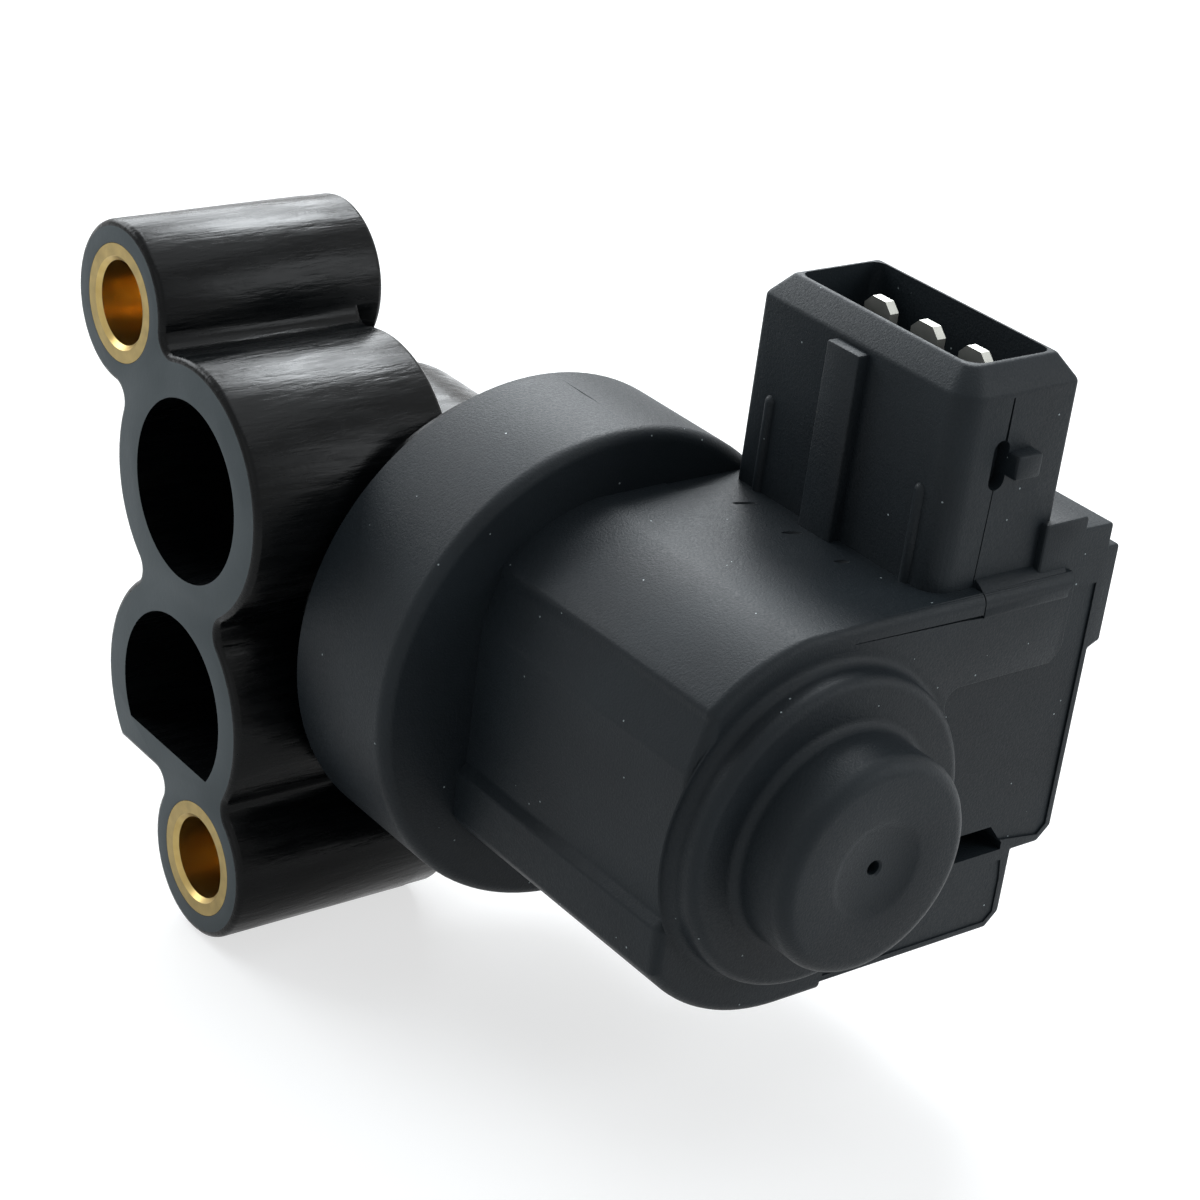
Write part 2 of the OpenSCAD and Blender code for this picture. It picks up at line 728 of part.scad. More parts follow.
// Revolved nose: first ring, dome, dish and vent, with hollow fillets at the feet
module nose() {
    f = nose_fillet_r;
    e = ring_edge_r;
    r = dome_edge_r;
    steps = 6;
    ring_foot = [for (i = [0:steps])
        [ring_r + f - f * sin(90 * i / steps), f - f * cos(90 * i / steps)]];
    ring_edge = [for (i = [0:steps])
        [ring_r - e + e * cos(90 * i / steps), ring_h - e + e * sin(90 * i / steps)]];
    dome_foot = [for (i = [0:steps])
        [dome_r + f - f * sin(90 * i / steps), ring_h + f - f * cos(90 * i / steps)]];
    dome_edge = [for (i = [0:steps])
        [dome_r - r + r * cos(90 * i / steps),
            ring_h + dome_h - r + r * sin(90 * i / steps)]];
    dish = [
        [dish_r, ring_h + dome_h],
        [dish_r - dish_slope, ring_h + dome_h - dish_depth],
        [vent_r, ring_h + dome_h - dish_depth],
        [vent_r, ring_h + dome_h - dish_depth - vent_depth],
        [0, ring_h + dome_h - dish_depth - vent_depth]
    ];
    turned(concat([[0, -nose_root], [ring_r - nose_root, -nose_root]], ring_foot, ring_edge, dome_foot, dome_edge, dish),
        body_end_y);
}

// Round collar with a rounded front rim
module collar() {
    steps = 8;
    rim = [for (i = [0:steps])
        [collar_r - collar_round + collar_round * cos(90 * i / steps),
            collar_t - collar_round + collar_round * sin(90 * i / steps)]];
    turned(concat([[0, 0], [collar_r, 0]], rim, [[0, collar_t]]), joint_y);
}

// One blade's upright slot and foot passage through the housing, drawn out by a margin
module blade_solid(y, foot_y, margin) {
    t = blade_t / 2 + margin;
    translate([blade_x - t, y - leg_w / 2 - margin, -foot_h / 2 - margin])
        cube([2 * t, leg_w + 2 * margin, floor_z + foot_h / 2 + margin + eps]);
    translate([blade_x - t, min(y, foot_y) - leg_w / 2 - margin, -foot_h / 2 - margin])
        cube([2 * t, abs(y - foot_y) + leg_w + 2 * margin, foot_h + 2 * margin]);
    translate([foot_x - margin, foot_y - leg_w / 2 - margin, -foot_h / 2 - margin])
        cube([blade_x - foot_x + t + margin, leg_w + 2 * margin, foot_h + 2 * margin]);
}

// Matt moulded motor housing: collar, body, nose, side box and plug socket in one piece
module motor_housing() {
    color("#3a4046") difference() {
        union() {
            collar();
            body_block();
            nose();
            side_box();
            socket();
        }
        // Recess for the end plate, and the stator's cavity
        rod(end_plate_r + seat_gap, joint_y + 1, end_plate_t + 1);
        rod(cavity_r, end_plate_y + eps, end_plate_y - stack_nose_y + eps);
        // Seat of the nose bush and room for the shaft's end
        rod(plain_bush_r + seat_gap, nose_bush_y + eps, nose_bush_len + eps);
        rod(shaft_r + 0.6, nose_bush_y, nose_bush_len + 1);
        // Inside of the plug socket
        translate([0, 0, floor_z]) linear_extrude(socket_depth + 1) socket_outline(socket_wall);
        clip_pocket();
        blade_slots();
    }
}

// Slots that the three blades are moulded into
module blade_slots() {
    blade_solid(blade_mid_y + blade_pitch, collar_foot_y, seat_gap);
    blade_solid(blade_mid_y, middle_foot_y, seat_gap);
    blade_solid(blade_mid_y - blade_pitch, nose_foot_y, seat_gap);
}

// One tinned blade: the plug tab above the socket's floor, its leg and its foot at the coil
module blade(y, foot_y) {
    bevel = 0.7;
    color("#b9bcbd") {
        blade_solid(y, foot_y, 0);
        translate([blade_x - blade_t / 2, y, 0])
            rotate([90, 0, 90])
                linear_extrude(blade_t)
                    polygon([
                        [-blade_w / 2, floor_z],
                        [blade_w / 2, floor_z],
                        [blade_w / 2, blade_tip_z - bevel],
                        [blade_w / 2 - bevel, blade_tip_z],
                        [-blade_w / 2 + bevel, blade_tip_z],
                        [-blade_w / 2, blade_tip_z - bevel]
                    ]);
    }
}

// Moulded end plate: it closes the chamber, carries the bearing and holds the stop pins
module end_plate() {
    groove_in_r = chamber_r - seal_cord;
    groove_w = seal_cord + 0.3;
    groove_y = spigot_y - (spigot_len - groove_w) / 2;
    color("#4a4f55") difference() {
        union() {
            rod(end_plate_r, joint_y, end_plate_t);
            rod(chamber_r - 0.1, spigot_y, spigot_len + eps);
        }
        tube(chamber_r + 1, groove_in_r, groove_y, groove_w);
        rod(bearing_r + seat_gap, bearing_back_y, bearing_w + 1);
        rod(shoulder_hole_r, spigot_y + 1, spigot_len + end_plate_t);
        stop_pin_set(stop_pin_r + seat_gap, spigot_y + eps, stop_pin_len / 2 + eps);
    }
}

// Rubber ring that seals the end plate's spigot in the chamber
module sealing_ring() {
    groove_w = seal_cord + 0.3;
    groove_y = spigot_y - (spigot_len - groove_w) / 2;
    cord_r = (seal_cord - 0.08) / 2;
    color("#151617")
        translate([axis_x, groove_y - groove_w / 2, 0])
            rotate([90, 0, 0])
                rotate_extrude($fn = fine)
                    translate([chamber_r - 0.04 - cord_r, 0]) circle(r = cord_r, $fn = 32);
}

// The two pins that stop the slide, one for each end of its swing
module stop_pin_set(radius, start_y, length) {
    reach = shoe_angle / 2 + stop_pin_margin + 1.5;
    for (angle = [shoe_rest_angle + open_swing + reach, shoe_rest_angle - close_swing - reach])
        translate([stop_pin_pitch_r * cos(angle), 0, stop_pin_pitch_r * sin(angle)])
            rod(radius, start_y, length);
}

// Steel stop pins, pressed into the end plate
module stop_pins() {
    color("#8b8f92") stop_pin_set(stop_pin_r, spigot_y + stop_pin_len / 2, stop_pin_len);
}

// Soft iron tube round both coils, with a window for the blades' feet
module flux_tube() {
    color("#6a6d70") difference() {
        tube(flux_tube_r, flux_tube_r - flux_tube_wall, stack_collar_y, stack_len);
        translate([axis_x, nose_plate_y + 1, -foot_window_h / 2])
            cube([flux_tube_r + 1, collar_former_y - nose_plate_y - 2, foot_window_h]);
    }
}

// Pole plate: a ring with fingers that reach into the coils' bores
module pole_plate(start_y, first_angle, towards_collar, towards_nose) {
    color("#6a6d70") {
        tube(former_r, pole_inner_r, start_y, pole_plate_t);
        for (i = [0:finger_count - 1]) {
            angle = first_angle + i * 360 / finger_count;
            if (towards_collar)
                finger(angle, start_y + finger_len);
            if (towards_nose)
                finger(angle + 360 / finger_count / 2 * (towards_collar ? 1 : 0),
                    start_y - pole_plate_t);
        }
    }
}

// One pole finger, along the motor axis
module finger(angle, start_y) {
    along_nose(start_y + eps, finger_len + 2 * eps)
        translate([axis_x, 0])
            intersection() {
                difference() {
                    circle(r = pole_inner_r + finger_t, $fn = fine);
                    circle(r = pole_inner_r, $fn = fine);
                }
                wedge(angle - finger_angle / 2, angle + finger_angle / 2, 2 * former_r);
            }
}

// Moulded coil former, with a flange at each end
module coil_former(start_y) {
    color("#c9c2a8") {
        tube(former_bore_r + former_core_t, former_bore_r, start_y, former_len);
        tube(former_r, former_bore_r, start_y, former_flange_t);
        tube(former_r, former_bore_r, start_y - former_len + former_flange_t, former_flange_t);
    }
}

// Copper winding, as one solid of its outer shape
module winding(start_y) {
    color("#9c4f24")
        tube(winding_r, winding_in_r, start_y - former_flange_t - seat_gap, winding_len);
}

// Groove that the balls run in, as a ring cut
module ball_groove() {
    translate([axis_x, (bearing_back_y + bearing_front_y) / 2, 0])
        rotate([90, 0, 0])
            rotate_extrude($fn = fine)
                translate([ball_pitch_r, 0]) circle(r = ball_r + race_gap, $fn = 32);
}

// Outer race of the ball bearing
module bearing_outer_race() {
    color("#9a9ea1") difference() {
        tube(bearing_r, outer_race_in_r, bearing_back_y, bearing_w);
        ball_groove();
    }
}

// Inner race of the ball bearing
module bearing_inner_race() {
    color("#9a9ea1") difference() {
        tube(inner_race_r, shaft_r + seat_gap, bearing_back_y, bearing_w);
        ball_groove();
    }
}

// Balls of the bearing
module bearing_balls() {
    color("#b4b8ba")
        for (i = [0:ball_count - 1]) {
            angle = i * 360 / ball_count;
            translate([axis_x + ball_pitch_r * cos(angle), (bearing_back_y + bearing_front_y) / 2,
                ball_pitch_r * sin(angle)])
                sphere(r = ball_r, $fn = 32);
        }
}

// Sintered bronze bush, pressed in the nose
module nose_bush() {
    color("#8f6b3a") tube(plain_bush_r, shaft_r + running_gap, nose_bush_y, nose_bush_len);
}

// Sintered bronze bush, pressed in the chamber's end
module chamber_bush() {
    color("#8f6b3a")
        tube(plain_bush_r, shaft_r + running_gap, end_bush_y, end_bush_len);
}

// Ground steel shaft, with a groove for its spring clip
module shaft() {
    length = shaft_back_y - shaft_nose_y;
    groove_at = shaft_back_y - bearing_front_y;
    groove_r = shaft_r - 0.35;
    color("#a3a7aa")
        turned([
            [0, 0],
            [shaft_r - shaft_tip_chamfer, 0],
            [shaft_r, shaft_tip_chamfer],
            [shaft_r, groove_at],
            [groove_r, groove_at],
            [groove_r, groove_at + clip_t],
            [shaft_r, groove_at + clip_t],
            [shaft_r, length - shaft_tip_chamfer],
            [shaft_r - shaft_tip_chamfer, length],
            [0, length]
        ], shaft_back_y);
}

// Spring steel clip that holds the bearing on the shaft
module shaft_clip() {
    color("#55585b") difference() {
        tube(clip_r, shaft_r - 0.3, bearing_front_y - eps, clip_t - 2 * eps);
        translate([axis_x, bearing_front_y + 1, -1.2])
            rotate([90, 0, 0])
                cube([clip_r + 1, 2.4, 3]);
    }
}

// Moulded hub that holds the ring magnet on the shaft
module rotor_hub() {
    flange_t = 1;
    length = hub_collar_y - hub_nose_y;
    magnet_top_y = magnet_mid_y + magnet_len / 2;
    color("#d8d4c6") difference() {
        union() {
            rod(hub_r, hub_collar_y, length);
            rod(hub_r + 1.4, magnet_top_y + flange_t + seat_gap, flange_t);
        }
        rod(shaft_r + seat_gap, hub_collar_y + 1, length + 2);
    }
}

// Ring magnet of the rotor
module ring_magnet() {
    color("#3b3a3c")
        tube(magnet_r, hub_r + seat_gap, magnet_mid_y + magnet_len / 2, magnet_len);
}

// Rotary slide: a hub, a web and a curved shoe that covers the lower port's window
module rotary_slide() {
    from_angle = shoe_rest_angle - shoe_angle / 2;
    to_angle = shoe_rest_angle + shoe_angle / 2;
    web_y = shoe_front_y + web_setback;
    hub_back_y = shoe_back_y - 0.5;
    color("#7f8488") difference() {
        union() {
            rod(slide_hub_r, hub_back_y, hub_back_y - shoe_front_y);
            rod(inner_race_r - 0.1, shoe_front_y + eps, shoe_front_y - bearing_back_y);
            along_nose(shoe_back_y, shoe_len)
                translate([axis_x, 0])
                    intersection() {
                        difference() {
                            circle(r = shoe_r, $fn = fine);
                            circle(r = shoe_r - shoe_t, $fn = fine);
                        }
                        wedge(from_angle, to_angle, 2 * shoe_r);
                    }
            along_nose(web_y, web_t)
                translate([axis_x, 0])
                    intersection() {
                        circle(r = shoe_r - shoe_t / 2, $fn = fine);
                        wedge(from_angle, to_angle, 2 * shoe_r);
                    }
        }
        rod(shaft_r + seat_gap, hub_back_y + 1, hub_back_y - bearing_back_y + 3);
    }
}

valve_housing();
bolt_bush(upper_bolt);  // upper_bolt_bush
bolt_bush(lower_bolt);  // lower_bolt_bush
motor_housing();
end_plate();
sealing_ring();
stop_pins();
flux_tube();
pole_plate(stack_collar_y, 0, false, true);  // collar_pole_plate
pole_plate(middle_plate_y, 45, true, true);  // middle_pole_plate
pole_plate(nose_plate_y, 45, true, false);  // nose_pole_plate
coil_former(collar_former_y);  // collar_coil_former
coil_former(nose_former_y);  // nose_coil_former
winding(collar_former_y);  // collar_winding
winding(nose_former_y);  // nose_winding
blade(blade_mid_y + blade_pitch, collar_foot_y);  // blade_collar_side
blade(blade_mid_y, middle_foot_y);  // blade_middle
blade(blade_mid_y - blade_pitch, nose_foot_y);  // blade_nose_side
bearing_outer_race();
bearing_balls();
nose_bush();
chamber_bush();
shaft();
bearing_inner_race();
shaft_clip();
rotor_hub();
ring_magnet();
rotary_slide();
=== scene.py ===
import math

import bpy
from mathutils import Matrix, Vector


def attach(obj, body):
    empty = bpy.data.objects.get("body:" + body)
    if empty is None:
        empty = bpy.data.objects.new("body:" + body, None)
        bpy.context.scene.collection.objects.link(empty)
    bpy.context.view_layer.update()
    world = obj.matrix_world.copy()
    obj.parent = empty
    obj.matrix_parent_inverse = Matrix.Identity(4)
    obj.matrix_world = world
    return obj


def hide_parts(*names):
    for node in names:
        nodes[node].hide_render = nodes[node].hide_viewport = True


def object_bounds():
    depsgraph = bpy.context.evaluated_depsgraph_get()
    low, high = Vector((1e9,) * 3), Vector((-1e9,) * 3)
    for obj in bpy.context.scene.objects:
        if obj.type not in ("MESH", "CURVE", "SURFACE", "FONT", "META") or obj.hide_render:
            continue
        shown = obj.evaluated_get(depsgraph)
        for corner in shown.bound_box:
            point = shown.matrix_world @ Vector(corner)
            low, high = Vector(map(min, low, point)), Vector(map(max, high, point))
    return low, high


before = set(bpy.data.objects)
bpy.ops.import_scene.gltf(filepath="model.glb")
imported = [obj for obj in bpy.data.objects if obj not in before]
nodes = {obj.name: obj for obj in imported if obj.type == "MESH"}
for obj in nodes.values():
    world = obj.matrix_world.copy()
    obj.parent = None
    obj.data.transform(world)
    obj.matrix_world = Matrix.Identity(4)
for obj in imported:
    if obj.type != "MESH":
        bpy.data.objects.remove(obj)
cad_box = [list(corner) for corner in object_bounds()]

# Camera, at the photograph's place: in front of the nose on the flange's side, a little above
# the valve. Its lens and place were worked out from the flange's holes and the plug.
bpy.ops.object.camera_add()
camera = bpy.context.object
camera.data.sensor_width = 36
camera.data.lens = 92.017
camera.data.clip_start = 0.01
camera.matrix_world = Matrix((
    (0.793074, 0.180092, -0.581894, -0.109531),
    (-0.597396, 0.416528, -0.68529, -0.180807),
    (0.11896, 0.891107, 0.437923, 0.105329),
    (0, 0, 0, 1),
))
bpy.context.scene.camera = camera
bpy.context.scene.view_settings.view_transform = "Standard"


# Studio: a plain white table top and a white surround, with soft lamps above, behind and to the
# sides. The surround's white is only seen, directly or in reflections, and adds no light.
def linear(hex_colour):
    """An sRGB hex colour as linear values, with full alpha."""
    channels = [int(hex_colour[i:i + 2], 16) / 255 for i in (1, 3, 5)]
    return [c / 12.92 if c <= 0.04045 else ((c + 0.055) / 1.055) ** 2.4 for c in channels] + [1]


def add_node(tree, kind, links=None, **settings):
    """Adds a node with its settings or input values, and links sources to its inputs."""
    node = tree.nodes.new(kind)
    for name, value in settings.items():
        if hasattr(node, name):
            setattr(node, name, value)
        else:
            node.inputs[name.replace("_", " ")].default_value = value
    for name, source in (links or {}).items():
        tree.links.new(source, node.inputs[name])
    return node


def new_material(name):
    """An empty material and its node tree."""
    material = bpy.data.materials.new(name)
    material.use_nodes = True
    material.node_tree.nodes.clear()
    return material, material.node_tree


world = bpy.data.worlds.new("White studio")
bpy.context.scene.world = world
world.use_nodes = True
tree = world.node_tree
tree.nodes.clear()
path = add_node(tree, "ShaderNodeLightPath")
seen = add_node(tree, "ShaderNodeMath", {0: path.outputs["Is Camera Ray"], 1: path.outputs["Is Glossy Ray"]},
                operation="MAXIMUM")
seen = add_node(tree, "ShaderNodeMath", {0: seen.outputs[0], 1: path.outputs["Is Transmission Ray"]},
                operation="MAXIMUM")
plain = add_node(tree, "ShaderNodeBackground", Color=linear("#dfe6ea"), Strength=0.3)
white = add_node(tree, "ShaderNodeBackground", Color=(1, 1, 1, 1), Strength=1)
mixed = add_node(tree, "ShaderNodeMixShader", {0: seen.outputs[0], 1: plain.outputs[0], 2: white.outputs[0]})
add_node(tree, "ShaderNodeOutputWorld", {0: mixed.outputs[0]})

bpy.ops.mesh.primitive_plane_add(size=3, location=(0, 0, cad_box[0][2] - 0.0002))
floor = bpy.context.object
floor.name = "table_top"
material, tree = new_material("White table top")
paper = add_node(tree, "ShaderNodeBsdfDiffuse", Color=linear("#a8a8a8"))
path = add_node(tree, "ShaderNodeLightPath")
seen = add_node(tree, "ShaderNodeMath", {0: path.outputs["Is Camera Ray"], 1: path.outputs["Is Glossy Ray"]},
                operation="MAXIMUM")
seen = add_node(tree, "ShaderNodeMath", {0: seen.outputs[0], 1: path.outputs["Is Transmission Ray"]},
                operation="MAXIMUM")
share = add_node(tree, "ShaderNodeMath", {0: seen.outputs[0]}, operation="MULTIPLY")
share.inputs[1].default_value = 0.68
white = add_node(tree, "ShaderNodeEmission", {"Strength": share.outputs[0]}, Color=(1, 1, 1, 1))
added = add_node(tree, "ShaderNodeAddShader", {0: paper.outputs[0], 1: white.outputs[0]})
add_node(tree, "ShaderNodeOutputMaterial", {0: added.outputs[0]})
floor.data.materials.append(material)


def soft_lamp(name, place, wide, high, power):
    """A cool white softbox, sizes in metres and power in watts, that faces the valve."""
    bpy.ops.object.light_add(type="AREA", location=place)
    lamp = bpy.context.object
    lamp.name = name
    lamp.data.shape = "RECTANGLE"
    lamp.data.size, lamp.data.size_y = wide, high
    lamp.data.energy = power
    lamp.data.color = (0.93, 0.97, 1)
    to_valve = Vector((0.02, -0.02, 0)) - Vector(place)
    lamp.rotation_euler = to_valve.to_track_quat("-Z", "Y").to_euler()


soft_lamp("streak_softbox", (0.33, 0.26, 0.48), 0.22, 0.22, 4.2)
soft_lamp("rear_softbox", (0.04, 0.55, 0.34), 1.0, 0.35, 8)
soft_lamp("top_softbox", (0.12, -0.1, 0.65), 0.5, 0.5, 1.2)
soft_lamp("right_softbox", (0.45, -0.5, 0.3), 0.4, 0.4, 1.8)
soft_lamp("left_softbox", (-0.5, -0.3, 0.3), 0.5, 0.5, 0.3)


# Valve housing: the flange, two bolt bosses, two port tubes and the slide's chamber, moulded
# in one piece from glass-filled nylon. Its sides are glossy from the mould and streaked along
# the draw; the flange face is a matt sealing face with sharp edges.
MM = 0.001
AXIS_X = 23.24
BOSS_R, BUSH_R, BOSS_DEPTH, TUBE_DEPTH = 6.36, 4.57, 19.7, 17.5
UPPER_BOLT, LOWER_BOLT = (8.15, 19.9), (-8.15, -19.9)
UPPER_PORT, LOWER_PORT = (-2.9, 9.05), (-2.9, -8.7)
PORT_R, PORT_DEPTH, UPPER_TUBE_R, LOWER_TUBE_R = 7.08, 16.1, 10.23, 9.78
FLAT_Z, BORE_FLAT_Z, FILLET_R = -15.4, -12.85, 1.3
JOINT_Y, JOINT_R, JOINT_T = -13.66, 17.82, 2.2
CHAMBER_END_Y, CHAMBER_R, CHAMBER_OUTER_R, BARREL_END_Y = 4.54, 11.0, 12.4, 6.94
END_BOSS_R, END_BOSS_Y, END_BUSH_R, END_BUSH_DEPTH = 5.2, 9.14, 3.63, 3
EDGE_ROUND, FACE_EDGE_ROUND, MOULDED_IN_GAP = 0.5, 0.06, 0.03


def drawn_shape(name, points):
    """A flat outline as one filled face, its corners given in mm."""
    bpy.ops.object.select_all(action="DESELECT")
    bpy.ops.mesh.primitive_circle_add(vertices=len(points), radius=MM, fill_type="NGON")
    piece = bpy.context.object
    piece.name = name
    for vertex, point in zip(piece.data.vertices, points):
        vertex.co = Vector(point) * MM
    return piece


def edit_all(piece):
    """Opens the piece alone in edit mode with all of it selected."""
    bpy.ops.object.mode_set(mode="OBJECT")
    bpy.ops.object.select_all(action="DESELECT")
    piece.select_set(True)
    bpy.context.view_layer.objects.active = piece
    bpy.ops.object.mode_set(mode="EDIT")
    bpy.ops.mesh.select_all(action="SELECT")


def drawn_out(piece, reach):
    """Extrudes the filled face along reach, in mm, into a closed solid."""
    edit_all(piece)
    bpy.ops.mesh.extrude_region_move(TRANSFORM_OT_translate={"value": Vector(reach) * MM})
    bpy.ops.mesh.select_all(action="SELECT")
    bpy.ops.mesh.normals_make_consistent(inside=False)
    bpy.ops.object.mode_set(mode="OBJECT")
    return piece


def turned(name, profile, steps=128):
    """Spins a closed profile, given as (radius, y) in mm, about the motor axis."""
    piece = drawn_shape(name, [(AXIS_X + r, y, 0) for r, y in profile])
    edit_all(piece)
    bpy.ops.mesh.delete(type="ONLY_FACE")
    bpy.ops.mesh.select_all(action="SELECT")
    bpy.ops.mesh.spin(steps=steps, angle=2 * math.pi, center=(AXIS_X * MM, 0, 0), axis=(0, 1, 0))
    bpy.ops.mesh.select_all(action="SELECT")
    bpy.ops.mesh.remove_doubles(threshold=0.002 * MM)
    bpy.ops.mesh.delete_loose()
    bpy.ops.mesh.select_all(action="SELECT")
    bpy.ops.mesh.normals_make_consistent(inside=False)
    bpy.ops.object.mode_set(mode="OBJECT")
    return piece


def rod_along_x(name, centre, radius, start, end, steps=96):
    """A round rod, sizes in mm, square to the flange at a centre of y and z."""
    bpy.ops.object.select_all(action="DESELECT")
    bpy.ops.mesh.primitive_cylinder_add(
        vertices=steps, radius=radius * MM, depth=(end - start) * MM,
        location=((start + end) / 2 * MM, centre[0] * MM, centre[1] * MM), rotation=(0, math.pi / 2, 0))
    bpy.ops.object.transform_apply()
    piece = bpy.context.object
    piece.name = name
    return piece


def combined(piece, tool, operation="UNION"):
    """Joins or cuts with a tool, which is used up; clean triangles keep every face exactly flat."""
    for part in (tool, piece):
        edit_all(part)
        bpy.ops.mesh.quads_convert_to_tris()
        bpy.ops.mesh.select_all(action="SELECT")
        bpy.ops.mesh.dissolve_degenerate(threshold=0.001 * MM)
        bpy.ops.object.mode_set(mode="OBJECT")
    bpy.ops.object.modifier_add(type="BOOLEAN")
    change = piece.modifiers[-1]
    change.operation = operation
    change.solver = "EXACT"
    change.object = tool
    bpy.ops.object.modifier_apply(modifier=change.name)
    bpy.data.objects.remove(tool)
    return piece


def rounded(piece, width, segments, chosen=None, sharpness=30):
    """Rounds the sharp edges, or only those whose two ends, in mm, the test chosen accepts."""
    bpy.context.tool_settings.mesh_select_mode = (False, True, False)
    edit_all(piece)
    bpy.ops.mesh.select_all(action="DESELECT")
    bpy.ops.mesh.edges_select_sharp(sharpness=math.radians(sharpness))
    bpy.ops.object.mode_set(mode="OBJECT")
    if chosen:
        mesh = piece.data
        for edge in mesh.edges:
            if edge.select:
                a, b = (mesh.vertices[i].co / MM for i in edge.vertices)
                edge.select = bool(chosen(a, b))
        for vertex in mesh.vertices:
            vertex.select = False
    bpy.ops.object.mode_set(mode="EDIT")
    bpy.ops.mesh.bevel(offset=width * MM, segments=segments, affect="EDGES", clamp_overlap=True)
    bpy.ops.object.mode_set(mode="OBJECT")
    return piece


def weighted_round(piece, width, segments, weight_of, sharpness=15):
    """Rounds each sharp edge by the share of width that weight_of gives for its two ends, in mm."""
    bpy.context.tool_settings.mesh_select_mode = (False, True, False)
    edit_all(piece)
    bpy.ops.mesh.select_all(action="DESELECT")
    bpy.ops.mesh.edges_select_sharp(sharpness=math.radians(sharpness))
    bpy.ops.object.mode_set(mode="OBJECT")
    mesh = piece.data
    weights = mesh.attributes.new(name="bevel_weight_edge", type="FLOAT", domain="EDGE")
    for edge in mesh.edges:
        if edge.select:
            weights.data[edge.index].value = weight_of(*(mesh.vertices[i].co / MM for i in edge.vertices))
    bpy.ops.object.modifier_add(type="BEVEL")
    change = piece.modifiers[-1]
    change.width = width * MM
    change.segments = segments
    change.limit_method = "WEIGHT"
    bpy.ops.object.modifier_apply(modifier=change.name)
    return piece


def smoothed(piece, angle=35):
    """Smooth shading across edges that turn by less than the angle, in degrees."""
    bpy.ops.object.select_all(action="DESELECT")
    piece.select_set(True)
    bpy.context.view_layer.objects.active = piece
    bpy.ops.object.shade_smooth_by_angle(angle=math.radians(angle))


def bearing_of(centre, point):
    """The direction from a centre to a point, in radians."""
    return math.atan2(point[1] - centre[1], point[0] - centre[0])


def fillet_centre(a, radius_a, b, radius_b, side):
    """Centre of the fillet between two round tubes, on the left (1) or right (-1) of a to b."""
    along_a, along_b = radius_a + FILLET_R, radius_b + FILLET_R
    span = math.dist(a, b)
    u = ((b[0] - a[0]) / span, (b[1] - a[1]) / span)
    s = (span ** 2 + along_a ** 2 - along_b ** 2) / (2 * span)
    off = math.sqrt(along_a ** 2 - s ** 2) * side
    return a[0] + u[0] * s - u[1] * off, a[1] + u[1] * s + u[0] * off


def arc(centre, radius, start, end, outward):
    """Points along an arc in radians, anticlockwise if it bulges outward, else clockwise."""
    if outward and end < start:
        end += 2 * math.pi
    if not outward and end > start:
        end -= 2 * math.pi
    steps = max(4, round(abs(end - start) / math.radians(3)))
    return [(centre[0] + radius * math.cos(start + (end - start) * i / steps),
             centre[1] + radius * math.sin(start + (end - start) * i / steps)) for i in range(steps + 1)]


def arc_between(centre, radius, a, b, outward):
    """An arc that runs from the direction of point a to that of point b."""
    return arc(centre, radius, bearing_of(centre, a), bearing_of(centre, b), outward)


left_top = fillet_centre(UPPER_BOLT, BOSS_R, UPPER_PORT, UPPER_TUBE_R, 1)
left_mid = fillet_centre(UPPER_PORT, UPPER_TUBE_R, LOWER_PORT, LOWER_TUBE_R, 1)
right_top = fillet_centre(UPPER_BOLT, BOSS_R, UPPER_PORT, UPPER_TUBE_R, -1)
right_mid = fillet_centre(UPPER_PORT, UPPER_TUBE_R, LOWER_PORT, LOWER_TUBE_R, -1)
right_low = fillet_centre(LOWER_PORT, LOWER_TUBE_R, LOWER_BOLT, BOSS_R, -1)
drop = FLAT_Z - FILLET_R - LOWER_BOLT[1]
left_low = (LOWER_BOLT[0] + math.sqrt((BOSS_R + FILLET_R) ** 2 - drop ** 2), FLAT_Z - FILLET_R)
flat_end = (LOWER_PORT[0] + math.sqrt(LOWER_TUBE_R ** 2 - (FLAT_Z - LOWER_PORT[1]) ** 2), FLAT_Z)
outline = (
    arc_between(LOWER_BOLT, BOSS_R, right_low, left_low, True)
    + arc(left_low, FILLET_R, bearing_of(left_low, LOWER_BOLT), math.pi / 2, False)[1:]
    + arc_between(LOWER_PORT, LOWER_TUBE_R, flat_end, left_mid, True)
    + arc_between(left_mid, FILLET_R, LOWER_PORT, UPPER_PORT, False)[1:]
    + arc_between(UPPER_PORT, UPPER_TUBE_R, left_mid, left_top, True)[1:]
    + arc_between(left_top, FILLET_R, UPPER_PORT, UPPER_BOLT, False)[1:]
    + arc_between(UPPER_BOLT, BOSS_R, left_top, right_top, True)[1:]
    + arc_between(right_top, FILLET_R, UPPER_BOLT, UPPER_PORT, False)[1:]
    + arc_between(UPPER_PORT, UPPER_TUBE_R, right_top, right_mid, True)[1:]
    + arc_between(right_mid, FILLET_R, UPPER_PORT, LOWER_PORT, False)[1:]
    + arc_between(LOWER_PORT, LOWER_TUBE_R, right_mid, right_low, True)[1:]
    + arc_between(right_low, FILLET_R, LOWER_PORT, LOWER_BOLT, False)[1:-1]
)


def tube_end_edge(a, b):
    """The tubes' far edge, without the two arcs where the bosses run on."""
    on_boss = any(max(math.dist((p.y, p.z), centre) for p in (a, b)) < BOSS_R + 0.05
                  for centre in (UPPER_BOLT, LOWER_BOLT))
    return min(a.x, b.x) > TUBE_DEPTH - EDGE_ROUND and not on_boss


